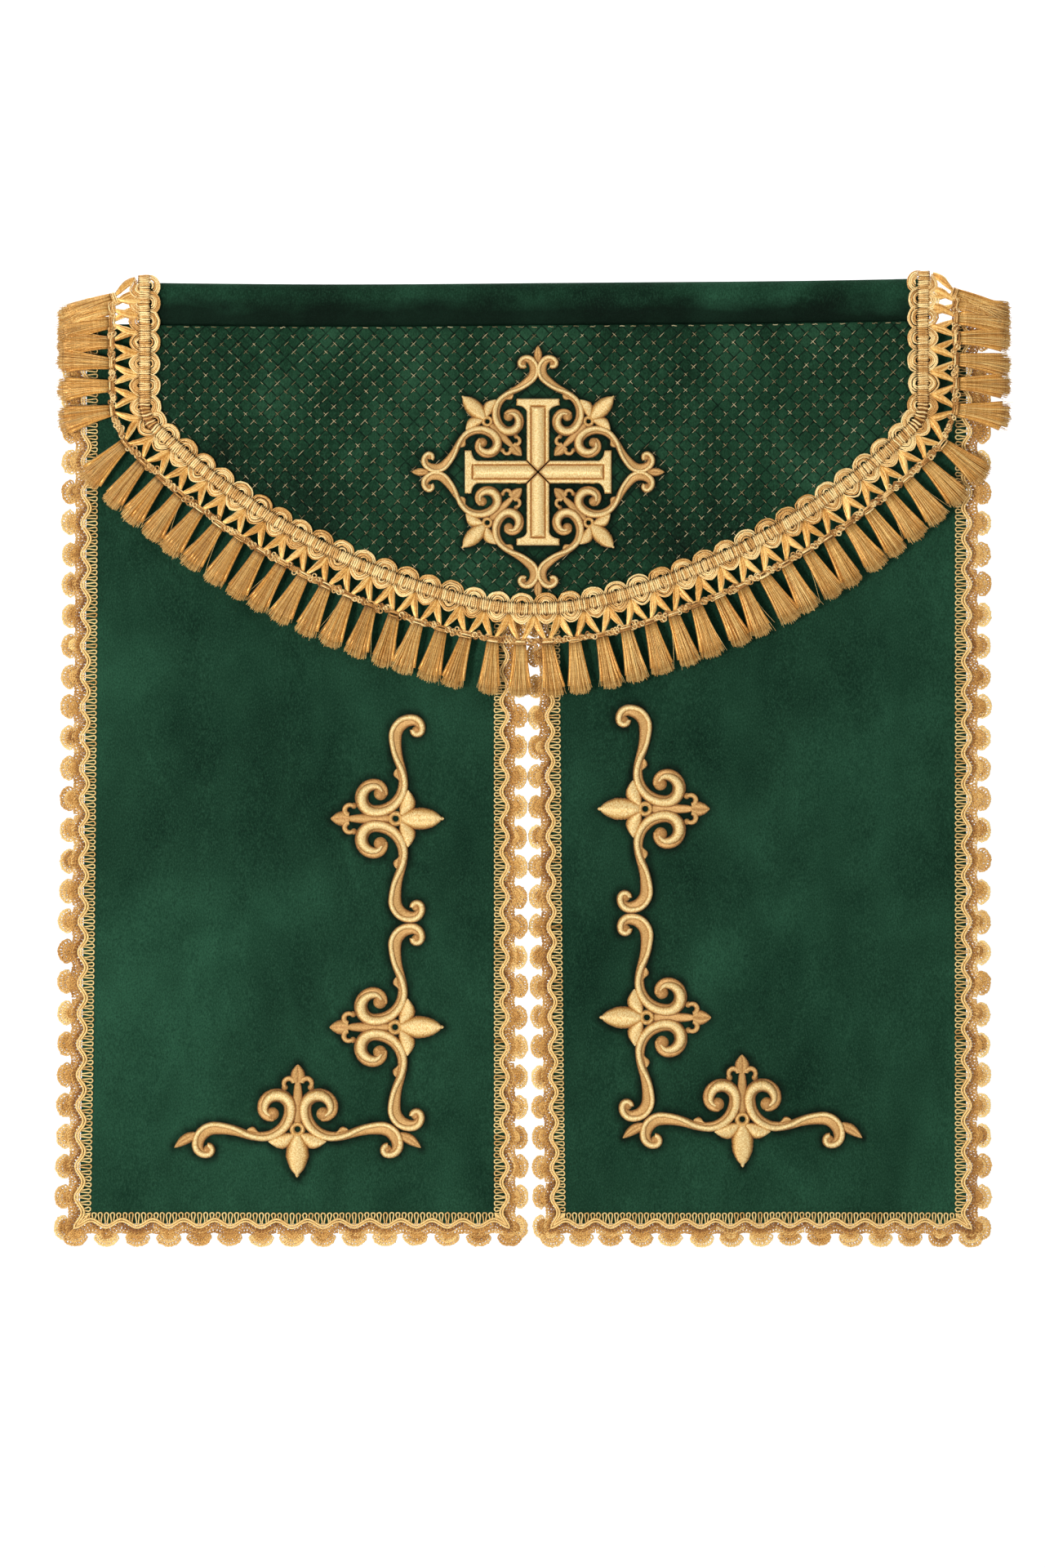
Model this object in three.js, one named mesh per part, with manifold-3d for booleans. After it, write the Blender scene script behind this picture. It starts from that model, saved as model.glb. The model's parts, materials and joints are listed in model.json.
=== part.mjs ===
// A tabernacle veil: a rod sleeve with a quilted, fringed valance and two lace-edged velvet
// curtains that part in the middle. Millimetres, +Z up, the front faces -Y, and the origin is the
// middle of the rod sleeve. Cloth layers are plain closed slabs, one behind the other along Y.
import * as THREE from "three";
import { mergeVertices } from "three/addons/utils/BufferGeometryUtils.js";
import Module from "manifold-3d";

const wasm = await Module();
wasm.setup();

// ---- Driving dimensions -------------------------------------------------------------------
const GAP = 0.3; // air left between sewn layers

// overall: the valance between its braids, and the curtains under the sleeve
const VALANCE_WIDTH = 457.5;
const CURTAIN_DROP = 545.5; // sleeve to the end of the seen velvet

// rod sleeve: one band of velvet folded over the rod, running on under the fringe's ends
const SLEEVE_LENGTH = VALANCE_WIDTH + 26.5;
const SLEEVE_HEIGHT = 26;
const SLEEVE_DEPTH = 14;
const SLEEVE_CLOTH = 1.5;
const SLEEVE_CORNER = 4.5;

// cloth thicknesses
const VELVET = 1.6;
const LINING = 0.6;
const LACE_THICK = 1.5;
const BRAID_THICK = 2.2;
const RELIEF = 3.0; // height of the padded embroidery
const TASSEL_THICK = 6.0;

// valance: half of its edge is three arcs (middle, flank, corner), then a straight side
const SEAM_DROP = 3.5; // the valance turns on its seam this far under the sleeve
const VALANCE_DROP = 162.5; // seam to the lowest point of the braid's upper edge
const MIDDLE_RADIUS = 160;
const MIDDLE_ANGLE = 14;
const FLANK_ANGLE = 44;
const CORNER_RADIUS = 12;
const UNDER_BRAID = 11; // how far the panel runs on under the braid

// fringe, measured outwards from the braid's upper edge
const SCALLOP_PITCH = 14.1; // each scallop has its tassel
const BRAID_WIDTH = 19;
const SCALLOP_RISE = 2.2;
const KNOT_AT = 29.5;
const TASSEL_END = 63;
const NECK_WIDTH = 5.2;
const SKIRT_WIDTH = 12.4;
const STRAP_WIDTH = 2.6;
const NET_RIM = 1.3;
const CHAIN_WIDTH = 2.4;
const SLEEVE_END_TASSELS = 2;

// lace
const LACE_WIDTH = 19.5;
const LACE_PITCH = 18.6;
const LACE_SCALLOP = 4.5;

// curtains
const CURTAIN_CENTRE = -4.5; // the slit lies a little left of the valance's middle
const SLIT = 1; // air between the two inner laces
const CURTAIN_INNER = LACE_WIDTH + SLIT / 2; // slit to the seen velvet
const CURTAIN_PROUD = 34.25; // seen velvet that stands out past the valance, each side
const CURTAIN_WIDTH = VALANCE_WIDTH / 2 + CURTAIN_PROUD - CURTAIN_INNER;
const CURTAIN_BOTTOM = -SLEEVE_HEIGHT / 2 - CURTAIN_DROP;
const UNDER_LACE = 7; // velvet that runs on under the lace
const FOLD_BELOW_FRINGE = 3.5;

// embroidery
const CROSS_X = 2.5;
const CROSS_DROP = 88; // seam to the middle of the cross
const CROSS_SCALE = 0.745;
const CROSS_CORNER = 31; // middle of the cross to the eyelet of a corner scroll, each way
const CROSS_ARM = 45;
const CROSS_ARM_WIDTH = 15;
const CROSS_FOOT_WIDTH = 26.5;
const CROSS_FOOT = 6.5;
const CROSS_CLEFT = 1.0; // thread line between the arms
const STEM_FROM_EDGE = 56; // seen velvet's inner edge to the eyelets of the upright scrolls
const UPPER_EYELET = CURTAIN_BOTTOM + 244.75;
const LOWER_EYELET = CURTAIN_BOTTOM + 116.75;
const BASE_FROM_EDGE = 114.75;
const BASE_EYELET = CURTAIN_BOTTOM + 54.25;
const STITCHED_LEFT = 4; // both curtains' embroidery sits this far to the left of even
const LEFT_DROP = 3; // the left curtain's embroidery sits lower, the right one's higher

// ---- Derived places -----------------------------------------------------------------------
const SEAM_Z = -SLEEVE_HEIGHT / 2 - SEAM_DROP;
const VALANCE_BOTTOM = SEAM_Z - VALANCE_DROP;
const TASSEL_BOTTOM = VALANCE_BOTTOM - TASSEL_END;
const FOLD_Z = TASSEL_BOTTOM - FOLD_BELOW_FRINGE;

// each layer's back, and the fronts follow from the thicknesses
const CURTAIN_BACK = 3.3;
const CURTAIN_FRONT = CURTAIN_BACK - VELVET;
const LINING_BACK = CURTAIN_BACK + GAP + LINING;
const LACE_BACK = CURTAIN_FRONT - GAP;
const VALANCE_LINING_BACK = LACE_BACK - LACE_THICK - 1.1;
const VALANCE_BACK = VALANCE_LINING_BACK - LINING - GAP;
const VALANCE_FRONT = VALANCE_BACK - VELVET;
const BRAID_BACK = VALANCE_FRONT - GAP;
const NET_BACK = VALANCE_BACK;
const NET_THICK = VELVET;
const TASSEL_BACK = VALANCE_LINING_BACK - 0.6;
const END_BRAID_BACK = -SLEEVE_DEPTH / 2 - GAP;

// ---- Materials ----------------------------------------------------------------------------
const material = (color, roughness, metalness = 0) =>
  new THREE.MeshStandardMaterial({ color, roughness, metalness });
const velvetGreen = material(0x1f4030, 0.95);
const quiltGreen = material(0x1d3b28, 0.9);
const liningGreen = material(0x24503a, 0.55);
const tapeGreen = material(0x1c3527, 0.8);
const laceGold = material(0xcfa567, 0.55, 0.25);
const braidGold = material(0xd0a45f, 0.55, 0.25);
const tasselGold = material(0xc2914c, 0.5, 0.2);
const threadGold = material(0xcb9f60, 0.45, 0.35);

const veil = new THREE.Group();

// ---- Helpers ------------------------------------------------------------------------------
const radians = THREE.MathUtils.degToRad;

// A shape drawn in X and Z, as a slab between two places along Y.
function slabGeometry(shape, back, thickness, curveSegments = 6) {
  const geometry = new THREE.ExtrudeGeometry(shape, {
    depth: thickness,
    bevelEnabled: false,
    curveSegments,
  });
  return geometry.rotateX(Math.PI / 2).translate(0, back, 0);
}

function addMesh(name, geometry, look) {
  const mesh = new THREE.Mesh(geometry, look);
  mesh.name = name;
  veil.add(mesh);
}

function addSlab(name, shape, back, thickness, look) {
  addMesh(name, slabGeometry(shape, back, thickness), look);
}

function outline(points) {
  return new THREE.Shape(points.map(([x, z]) => new THREE.Vector2(x, z)));
}

function rectangle(x0, x1, z0, z1) {
  return outline([
    [x0, z0],
    [x1, z0],
    [x1, z1],
    [x0, z1],
  ]);
}

// The same rectangle whichever side of the curtain centre it is on.
const sided = (side, inner, outer, z0, z1) => {
  const a = CURTAIN_CENTRE + side * inner;
  const b = CURTAIN_CENTRE + side * outer;
  return rectangle(Math.min(a, b), Math.max(a, b), z0, z1);
};

function solidOf(geometry) {
  const bare = geometry.clone();
  bare.deleteAttribute("normal");
  bare.deleteAttribute("uv");
  const merged = mergeVertices(bare, 1e-4);
  return new wasm.Manifold(
    new wasm.Mesh({
      numProp: 3,
      vertProperties: new Float32Array(merged.attributes.position.array),
      triVerts: new Uint32Array(merged.index.array),
    }),
  );
}

function geometryOf(solid) {
  const mesh = solid.getMesh();
  const positions = new Float32Array(mesh.numVert * 3);
  for (let i = 0; i < mesh.numVert; i++) {
    const from = i * mesh.numProp;
    positions.set(mesh.vertProperties.subarray(from, from + 3), i * 3);
  }
  const geometry = new THREE.BufferGeometry();
  geometry.setAttribute("position", new THREE.BufferAttribute(positions, 3));
  geometry.setIndex(new THREE.BufferAttribute(mesh.triVerts, 1));
  geometry.computeVertexNormals();
  return geometry;
}

const joined = (geometries) =>
  geometryOf(geometries.map(solidOf).reduce((all, one) => all.add(one)));

// ---- The valance's edge -------------------------------------------------------------------
// Right half of the edge from the middle of the bottom, as arcs between two directions of the
// outward normal, in degrees from straight down. The flank's radius makes up the width.
const sine = (degrees) => Math.sin(radians(degrees));
const FLANK_RADIUS =
  (VALANCE_WIDTH / 2 - MIDDLE_RADIUS * sine(MIDDLE_ANGLE) - CORNER_RADIUS * (1 - sine(FLANK_ANGLE))) /
  (sine(FLANK_ANGLE) - sine(MIDDLE_ANGLE));
const EDGE_ARCS = [
  { radius: MIDDLE_RADIUS, from: 0, to: MIDDLE_ANGLE },
  { radius: FLANK_RADIUS, from: MIDDLE_ANGLE, to: FLANK_ANGLE },
  { radius: CORNER_RADIUS, from: FLANK_ANGLE, to: 90 },
];

function edgeStart() {
  let x = 0;
  let z = VALANCE_BOTTOM;
  let s = 0;
  const pieces = EDGE_ARCS.map((arc) => {
    const piece = { ...arc, x, z, s, length: arc.radius * radians(arc.to - arc.from) };
    x += arc.radius * (Math.sin(radians(arc.to)) - Math.sin(radians(arc.from)));
    z += arc.radius * (Math.cos(radians(arc.from)) - Math.cos(radians(arc.to)));
    s += piece.length;
    return piece;
  });
  return { pieces, x, z, s };
}
const EDGE = edgeStart();
const EDGE_HALF = EDGE.s + (SEAM_Z - GAP - EDGE.z);
const HALF_WIDTH = EDGE.x;

// Position and outward direction at distance s from the middle, s < 0 on the left.
function edgeAt(s) {
  const side = Math.sign(s) || 1;
  const far = Math.abs(s);
  const piece = EDGE.pieces.find((p) => far <= p.s + p.length);
  let x = EDGE.x;
  let z = EDGE.z + (far - EDGE.s);
  let angle = Math.PI / 2;
  if (piece) {
    angle = radians(piece.from) + (far - piece.s) / piece.radius;
    x = piece.x + piece.radius * (Math.sin(angle) - Math.sin(radians(piece.from)));
    z = piece.z + piece.radius * (Math.cos(radians(piece.from)) - Math.cos(angle));
  }
  return { x: side * x, z, outX: side * Math.sin(angle), outZ: -Math.cos(angle) };
}

const edgeOffset = (s, out) => {
  const p = edgeAt(s);
  return [p.x + p.outX * out, p.z + p.outZ * out];
};

const FRINGE_UNITS = 2 * Math.round(EDGE_HALF / SCALLOP_PITCH);
const FRINGE_PITCH = (2 * EDGE_HALF) / FRINGE_UNITS;

// ---- Rod sleeve ---------------------------------------------------------------------------
function roundedRectangle(target, width, height, radius) {
  const x = width / 2;
  const y = height / 2;
  target.moveTo(x, -y + radius);
  target.lineTo(x, y - radius);
  target.absarc(x - radius, y - radius, radius, 0, Math.PI / 2, false);
  target.lineTo(-x + radius, y);
  target.absarc(-x + radius, y - radius, radius, Math.PI / 2, Math.PI, false);
  target.lineTo(-x, -y + radius);
  target.absarc(-x + radius, -y + radius, radius, Math.PI, 1.5 * Math.PI, false);
  target.lineTo(x - radius, -y);
  target.absarc(x - radius, -y + radius, radius, 1.5 * Math.PI, 2 * Math.PI, false);
  return target;
}

function makeSleeve() {
  const section = roundedRectangle(new THREE.Shape(), SLEEVE_DEPTH, SLEEVE_HEIGHT, SLEEVE_CORNER);
  section.holes.push(
    roundedRectangle(
      new THREE.Path(),
      SLEEVE_DEPTH - 2 * SLEEVE_CLOTH,
      SLEEVE_HEIGHT - 2 * SLEEVE_CLOTH,
      SLEEVE_CORNER - SLEEVE_CLOTH,
    ),
  );
  const geometry = new THREE.ExtrudeGeometry(section, {
    depth: SLEEVE_LENGTH,
    bevelEnabled: false,
    curveSegments: 5,
  });
  // section x becomes Y, section y becomes Z, and the length runs along X
  geometry.translate(0, 0, -SLEEVE_LENGTH / 2).rotateX(Math.PI / 2).rotateZ(Math.PI / 2);
  addMesh("rod_sleeve", geometry, velvetGreen);
}

function makeSeamTape() {
  const half = HALF_WIDTH - 6;
  const top = -SLEEVE_HEIGHT / 2 - GAP;
  const thickness = LACE_BACK - (VALANCE_LINING_BACK + GAP);
  addSlab("seam_tape", rectangle(-half, half, top - 9, top), LACE_BACK, thickness, tapeGreen);
}

// ---- Valance ------------------------------------------------------------------------------
function valanceOutline(inset) {
  const under = UNDER_BRAID - inset;
  const steps = 30;
  const points = [];
  for (let i = 0; i <= steps; i++) {
    points.push(edgeOffset(-EDGE_HALF + (2 * EDGE_HALF * i) / steps, under));
  }
  return outline(points);
}

function makeValance() {
  addSlab("valance_panel", valanceOutline(0), VALANCE_BACK, VELVET, quiltGreen);
  addSlab("valance_lining", valanceOutline(2), VALANCE_LINING_BACK, LINING, liningGreen);
}

// ---- Fringe -------------------------------------------------------------------------------
// Scalloped band: each unit's upper edge swells inwards, and its lower edge outwards.
function braidBand() {
  const upper = [];
  const lower = [];
  for (let i = 0; i < FRINGE_UNITS; i++) {
    for (const [t, swell] of [
      [0, 0],
      [0.25, 0.8],
      [0.75, 0.8],
    ]) {
      const s = -EDGE_HALF + (i + t) * FRINGE_PITCH;
      upper.push(edgeOffset(s, SCALLOP_RISE * (1 - swell)));
      lower.push(edgeOffset(s, BRAID_WIDTH - SCALLOP_RISE * (1 - swell)));
    }
  }
  upper.push(edgeOffset(EDGE_HALF, SCALLOP_RISE));
  lower.push(edgeOffset(EDGE_HALF, BRAID_WIDTH - SCALLOP_RISE));
  return outline([...lower, ...upper.reverse()]);
}

const unitMiddle = (i) => -EDGE_HALF + (i + 0.5) * FRINGE_PITCH;

// A flat bar between two points drawn in X and Z.
function bar([x0, z0], [x1, z1], width, back, thickness) {
  const along = new THREE.Vector2(x1 - x0, z1 - z0).normalize();
  const [nx, nz] = [(-along.y * width) / 2, (along.x * width) / 2];
  const [ex, ez] = [along.x * width * 0.35, along.y * width * 0.35];
  const shape = outline([
    [x0 - ex - nx, z0 - ez - nz],
    [x1 + ex - nx, z1 + ez - nz],
    [x1 + ex + nx, z1 + ez + nz],
    [x0 - ex + nx, z0 - ez + nz],
  ]);
  return slabGeometry(shape, back, thickness);
}

// A triangle drawn smaller, so that its sides move in by the given distance.
function insetTriangle(a, b, c, inset) {
  const lengthOf = ([x0, z0], [x1, z1]) => Math.hypot(x1 - x0, z1 - z0);
  const sides = [lengthOf(b, c), lengthOf(c, a), lengthOf(a, b)];
  const around = sides[0] + sides[1] + sides[2];
  const centre = [0, 1].map((k) => (sides[0] * a[k] + sides[1] * b[k] + sides[2] * c[k]) / around);
  const area = Math.abs((b[0] - a[0]) * (c[1] - a[1]) - (c[0] - a[0]) * (b[1] - a[1])) / 2;
  const keep = 1 - (inset * around) / (2 * area);
  return [a, b, c].map((p) => [0, 1].map((k) => centre[k] + (p[k] - centre[k]) * keep));
}

// Open net: a band with a triangle cut out on each side of every strap of the zigzag.
function makeNet() {
  const root = BRAID_WIDTH - 4.5;
  const knot = KNOT_AT - GAP - NET_RIM;
  const rootAt = (i, more = 0) => edgeOffset(-EDGE_HALF + i * FRINGE_PITCH, root + more);
  const knotAt = (i, more = 0) => edgeOffset(unitMiddle(i), knot + more);
  const units = [...Array(FRINGE_UNITS).keys()];
  const lower = [
    edgeOffset(-EDGE_HALF, knot + NET_RIM),
    ...units.map((i) => knotAt(i, NET_RIM)),
    edgeOffset(EDGE_HALF, knot + NET_RIM),
  ];
  const upper = [...units, FRINGE_UNITS].map((i) => rootAt(i, -NET_RIM));
  const net = outline([...lower, ...upper.reverse()]);
  for (const i of units) {
    net.holes.push(outline(insetTriangle(rootAt(i), rootAt(i + 1), knotAt(i), STRAP_WIDTH / 2)));
    if (i > 0) {
      const between = insetTriangle(rootAt(i), knotAt(i - 1), knotAt(i), STRAP_WIDTH / 2);
      net.holes.push(outline(between));
    }
  }
  addSlab("fringe_net", net, NET_BACK, NET_THICK, braidGold);
}

// One tassel: an eight-sided skirt that widens from its neck, standing off the edge.
function tasselGeometry(x, z, outX, outZ, back, thickness, length) {
  const ring = (width, depth, out) => {
    const corners = [];
    for (let k = 0; k < 8; k++) {
      const a = ((k + 0.5) * Math.PI) / 4;
      const across = (Math.cos(a) * width) / 2 / Math.cos(Math.PI / 8);
      const deep = (Math.sin(a) * depth) / 2 / Math.cos(Math.PI / 8);
      corners.push([
        x + outX * out - outZ * across,
        back - thickness / 2 + deep,
        z + outZ * out + outX * across,
      ]);
    }
    return corners;
  };
  const rings = [
    ring(NECK_WIDTH, thickness * 0.7, 0),
    ring(NECK_WIDTH * 0.9, thickness * 0.62, 3),
    ring(SKIRT_WIDTH * 0.8, thickness * 0.85, length * 0.55),
    ring(SKIRT_WIDTH, thickness, length),
  ];
  const triangles = [];
  for (let r = 0; r + 1 < rings.length; r++) {
    for (let k = 0; k < 8; k++) {
      const [a, b] = [rings[r][k], rings[r][(k + 1) % 8]];
      const [c, d] = [rings[r + 1][k], rings[r + 1][(k + 1) % 8]];
      triangles.push(a, c, b, b, c, d);
    }
  }
  const last = rings.length - 1;
  for (let k = 1; k < 7; k++) {
    triangles.push(rings[0][0], rings[0][k], rings[0][k + 1]);
    triangles.push(rings[last][0], rings[last][k + 1], rings[last][k]);
  }
  const geometry = new THREE.BufferGeometry();
  geometry.setAttribute("position", new THREE.Float32BufferAttribute(triangles.flat(), 3));
  return geometry;
}

// Tassels of neighbouring units, joined by the cord that binds their necks.
function tasselRow(name, first, last) {
  const pieces = [];
  for (let i = first; i <= last; i++) {
    const p = edgeAt(unitMiddle(i));
    const [x, z] = edgeOffset(unitMiddle(i), KNOT_AT);
    const length = TASSEL_END - KNOT_AT;
    pieces.push(tasselGeometry(x, z, p.outX, p.outZ, TASSEL_BACK, TASSEL_THICK, length));
    if (i < last) {
      const [from, to] = [i, i + 1].map((k) => edgeOffset(unitMiddle(k), KNOT_AT + 1.6));
      const back = TASSEL_BACK - TASSEL_THICK / 2 + CHAIN_WIDTH / 2;
      pieces.push(bar(from, to, CHAIN_WIDTH, back, CHAIN_WIDTH));
    }
  }
  addMesh(name, joined(pieces), tasselGold);
}

function makeFringe() {
  addSlab("fringe_braid", braidBand(), BRAID_BACK, BRAID_THICK, braidGold);
  makeNet();
  // each row is named with the unit it starts at, and ends where the next one starts
  const last = FRINGE_UNITS;
  const rows = [
    ["left_side", 0],
    ["left_outer", 4],
    ["left_inner", 12],
    ["middle", 18],
    ["right_inner", last - 18],
    ["right_outer", last - 12],
    ["right_side", last - 4],
  ];
  rows.forEach(([row, start], k) => {
    tasselRow("tassels_" + row, start, (rows[k + 1]?.[1] ?? last) - 1);
  });
}

// The fringe's two ends lie over the front of the sleeve and stay with it.
function makeSleeveEnd(side, word) {
  const foot = -SLEEVE_HEIGHT / 2 + 1;
  const top = SLEEVE_HEIGHT / 2;
  const inner = side * HALF_WIDTH;
  const outer = side * (HALF_WIDTH + BRAID_WIDTH);
  addSlab(
    word + "_end_braid",
    rectangle(Math.min(inner, outer), Math.max(inner, outer), foot, top),
    END_BRAID_BACK,
    BRAID_THICK,
    braidGold,
  );
  const pitch = (top - foot) / SLEEVE_END_TASSELS;
  const back = END_BRAID_BACK + 0.6;
  const pieces = [];
  const middles = Array.from({ length: SLEEVE_END_TASSELS }, (_, i) => foot + (i + 0.5) * pitch);
  for (const z of middles) {
    const x = side * (HALF_WIDTH + KNOT_AT);
    const length = TASSEL_END - KNOT_AT;
    pieces.push(tasselGeometry(x, z, side, 0, back, TASSEL_THICK * 0.7, length));
    // the strap that holds the tassel runs back to just off the braid
    const root = [side * (HALF_WIDTH + BRAID_WIDTH + GAP + 1), z];
    pieces.push(bar(root, [x + side, z], STRAP_WIDTH, back - 1, NET_THICK));
  }
  const cordX = side * (HALF_WIDTH + KNOT_AT + 1.6);
  pieces.push(
    bar([cordX, middles[0]], [cordX, middles.at(-1)], CHAIN_WIDTH, back - 1, CHAIN_WIDTH),
  );
  addMesh(word + "_end_tassels", joined(pieces), tasselGold);
}

// ---- Lace ---------------------------------------------------------------------------------
// A strip of lace from its loops (straight) to its fans (scalloped), as points along a line.
function laceStrip(length) {
  const count = Math.max(1, Math.round(length / LACE_PITCH));
  const pitch = length / count;
  const points = [
    [0, 0],
    [length, 0],
  ];
  const reach = [0.12, 0.3, 0.7, 0.88];
  for (let i = count - 1; i >= 0; i--) {
    points.push([(i + 1) * pitch, LACE_WIDTH - LACE_SCALLOP]);
    for (const t of [...reach].reverse()) {
      const out = t > 0.2 && t < 0.8 ? 0 : LACE_SCALLOP * 0.45;
      points.push([(i + t) * pitch, LACE_WIDTH - out]);
    }
  }
  points.push([0, LACE_WIDTH - LACE_SCALLOP]);
  return points;
}

// Lays a strip along an upright edge, its fans pointing away from the velvet.
function uprightLace(name, side, loops, outward, z0, z1) {
  const x0 = CURTAIN_CENTRE + side * loops;
  const points = laceStrip(z1 - z0).map(([along, out]) => [x0 + side * outward * out, z0 + along]);
  const shape = outline(side * outward < 0 ? points : points.reverse());
  addSlab(name, shape, LACE_BACK, LACE_THICK, laceGold);
}

function bottomLace(name, side) {
  const inner = CURTAIN_INNER - LACE_WIDTH;
  const outer = CURTAIN_INNER + CURTAIN_WIDTH + LACE_WIDTH;
  const start = CURTAIN_CENTRE + (side < 0 ? -outer : inner);
  const top = CURTAIN_BOTTOM - GAP;
  const points = laceStrip(outer - inner).map(([along, out]) => [start + along, top - out]);
  addSlab(name, outline(points.reverse()), LACE_BACK, LACE_THICK, laceGold);
}

// ---- Embroidery ---------------------------------------------------------------------------
// A scroll is a chain of arcs [radius, turn in degrees, width at its end], left turns positive,
// drawn in the motif's own frame: u towards the big leaf, v along the stem, eyelet at 0, 0.
const SCROLL_START = { u: -7.2, v: 14.6, heading: 80, width: 5 };
const SCROLL_ARCS = [
  [5.5, 100, 5.4],
  [8.3, 90, 7.4],
  [8.3, 90, 6.8],
  [17.2, 90, 4.8],
  [35, 20, 4.8],
  [48, -20, 6.4],
  [10.5, -90, 6.6],
  [5.5, -100, 5.4],
];
const CURL_KNOB = { u: -9.4, v: 15.2, radius: 3.7 };
const HOOK_KNOB = { u: 12.9, v: 53.6, radius: 3.9 };

function scrollLine() {
  let { u, v } = SCROLL_START;
  let heading = radians(SCROLL_START.heading);
  let width = SCROLL_START.width;
  const line = [{ u, v, heading, width }];
  for (const [radius, turn, endWidth] of SCROLL_ARCS) {
    const steps = Math.max(1, Math.round(Math.abs(turn) / 34));
    const bend = Math.sign(turn) * radius;
    const startWidth = width;
    for (let i = 1; i <= steps; i++) {
      const next = heading + radians(turn) / steps;
      u += bend * (Math.sin(next) - Math.sin(heading));
      v -= bend * (Math.cos(next) - Math.cos(heading));
      heading = next;
      width = startWidth + ((endWidth - startWidth) * i) / steps;
      line.push({ u, v, heading, width });
    }
  }
  return line;
}

function scrollShape(mirror) {
  const line = scrollLine();
  const edge = (sign) =>
    line.map(({ u, v, heading, width }) => [
      u - (sign * Math.sin(heading) * width) / 2,
      mirror * (v + (sign * Math.cos(heading) * width) / 2),
    ]);
  return outline([...edge(-1), ...edge(1).reverse()]);
}

function disc(u, v, radius, hole = 0) {
  const shape = new THREE.Shape().absarc(u, v, radius, 0, 2 * Math.PI, false);
  if (hole) shape.holes.push(new THREE.Path().absarc(u, v, hole, 0, 2 * Math.PI, true));
  return shape;
}

// A leaf between two points, its belly a share of the way along.
function leaf(u0, v0, u1, v1, width, belly = 0.5) {
  const [du, dv] = [u1 - u0, v1 - v0];
  const length = Math.hypot(du, dv);
  const [nu, nv] = [-dv / length, du / length];
  const at = (t, w) => [u0 + du * t + nu * w, v0 + dv * t + nv * w];
  const [near, far] = [belly * 0.35, belly + (1 - belly) * 0.55];
  return outline([
    at(0, -width * 0.2),
    at(near, -width * 0.4),
    at(belly, -width / 2),
    at(far, -width * 0.38),
    at(1, 0),
    at(far, width * 0.38),
    at(belly, width / 2),
    at(near, width * 0.4),
    at(0, width * 0.2),
  ]);
}

// The whole motif: two scrolls back to back, eyelet, three leaves and a trefoil.
function motifShapes() {
  const shapes = [disc(0, 0, 4.9, 1.7), leaf(3.6, 0, 28.6, 0, 13.4, 0.5)];
  for (const mirror of [-1, 1]) {
    shapes.push(scrollShape(mirror));
    shapes.push(disc(CURL_KNOB.u, mirror * CURL_KNOB.v, CURL_KNOB.radius));
    shapes.push(disc(HOOK_KNOB.u, mirror * HOOK_KNOB.v, HOOK_KNOB.radius));
    shapes.push(leaf(3.4, mirror * 2.6, 8.2, mirror * 17, 8.6, 0.5));
    shapes.push(leaf(-24, mirror * 0.8, -29.5, mirror * 8.4, 6.6, 0.7));
  }
  // stalk and tip of the trefoil, set between the two curls
  shapes.push(leaf(-5, 0, -27, 0, 6.4, 0.25));
  shapes.push(leaf(-24, 0, -39.8, 0, 8.8, 0.5));
  return shapes;
}

// Small bud leaves past the hooks, as (start u, v, end u, v).
const BUD = [6.8, 60.5, 13, 76];

function motifGeometry({ buds = [], scale = 1, turn, x, z, back }) {
  const shapes = motifShapes();
  for (const side of buds) {
    shapes.push(leaf(BUD[0], side * BUD[1], BUD[2], side * BUD[3], 6.4, 0.4));
  }
  const place = new THREE.Matrix4()
    .makeTranslation(x, back, z)
    .multiply(new THREE.Matrix4().makeRotationY(-radians(turn)))
    .multiply(new THREE.Matrix4().makeScale(scale, 1, scale));
  return joined(shapes.map((shape) => slabGeometry(shape, 0, RELIEF, 4))).applyMatrix4(place);
}

// One arm of the cross, pointing up from the middle, its point cut to a right angle.
function crossArm() {
  const w = CROSS_ARM_WIDTH / 2;
  const f = CROSS_FOOT_WIDTH / 2;
  const start = CROSS_CLEFT;
  const foot = CROSS_ARM - CROSS_FOOT;
  return outline([
    [0, start],
    [w - 1, start + w - 1],
    [w - 1, foot - 1],
    [w + 1, foot + 2.2],
    [f, foot + 3],
    [f, CROSS_ARM],
    [-f, CROSS_ARM],
    [-f, foot + 3],
    [-w - 1, foot + 2.2],
    [-w + 1, foot - 1],
    [-w + 1, start + w - 1],
  ]);
}

function makeCross() {
  const z = SEAM_Z - CROSS_DROP;
  const back = VALANCE_FRONT - GAP;
  ["top", "left", "bottom", "right"].forEach((word, i) => {
    const geometry = slabGeometry(crossArm(), 0, RELIEF);
    geometry.rotateY((-i * Math.PI) / 2).translate(CROSS_X, back, z);
    addMesh("cross_" + word + "_arm", geometry, threadGold);
  });
  const corners = ["upper_right", "upper_left", "lower_left", "lower_right"];
  corners.forEach((word, i) => {
    const turn = 45 + 90 * i;
    const reach = CROSS_CORNER * Math.SQRT2;
    const geometry = motifGeometry({
      scale: CROSS_SCALE,
      turn,
      x: CROSS_X + reach * Math.cos(radians(turn)),
      z: z + reach * Math.sin(radians(turn)),
      back,
    });
    addMesh("cross_scroll_" + word, geometry, threadGold);
  });
}

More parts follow.
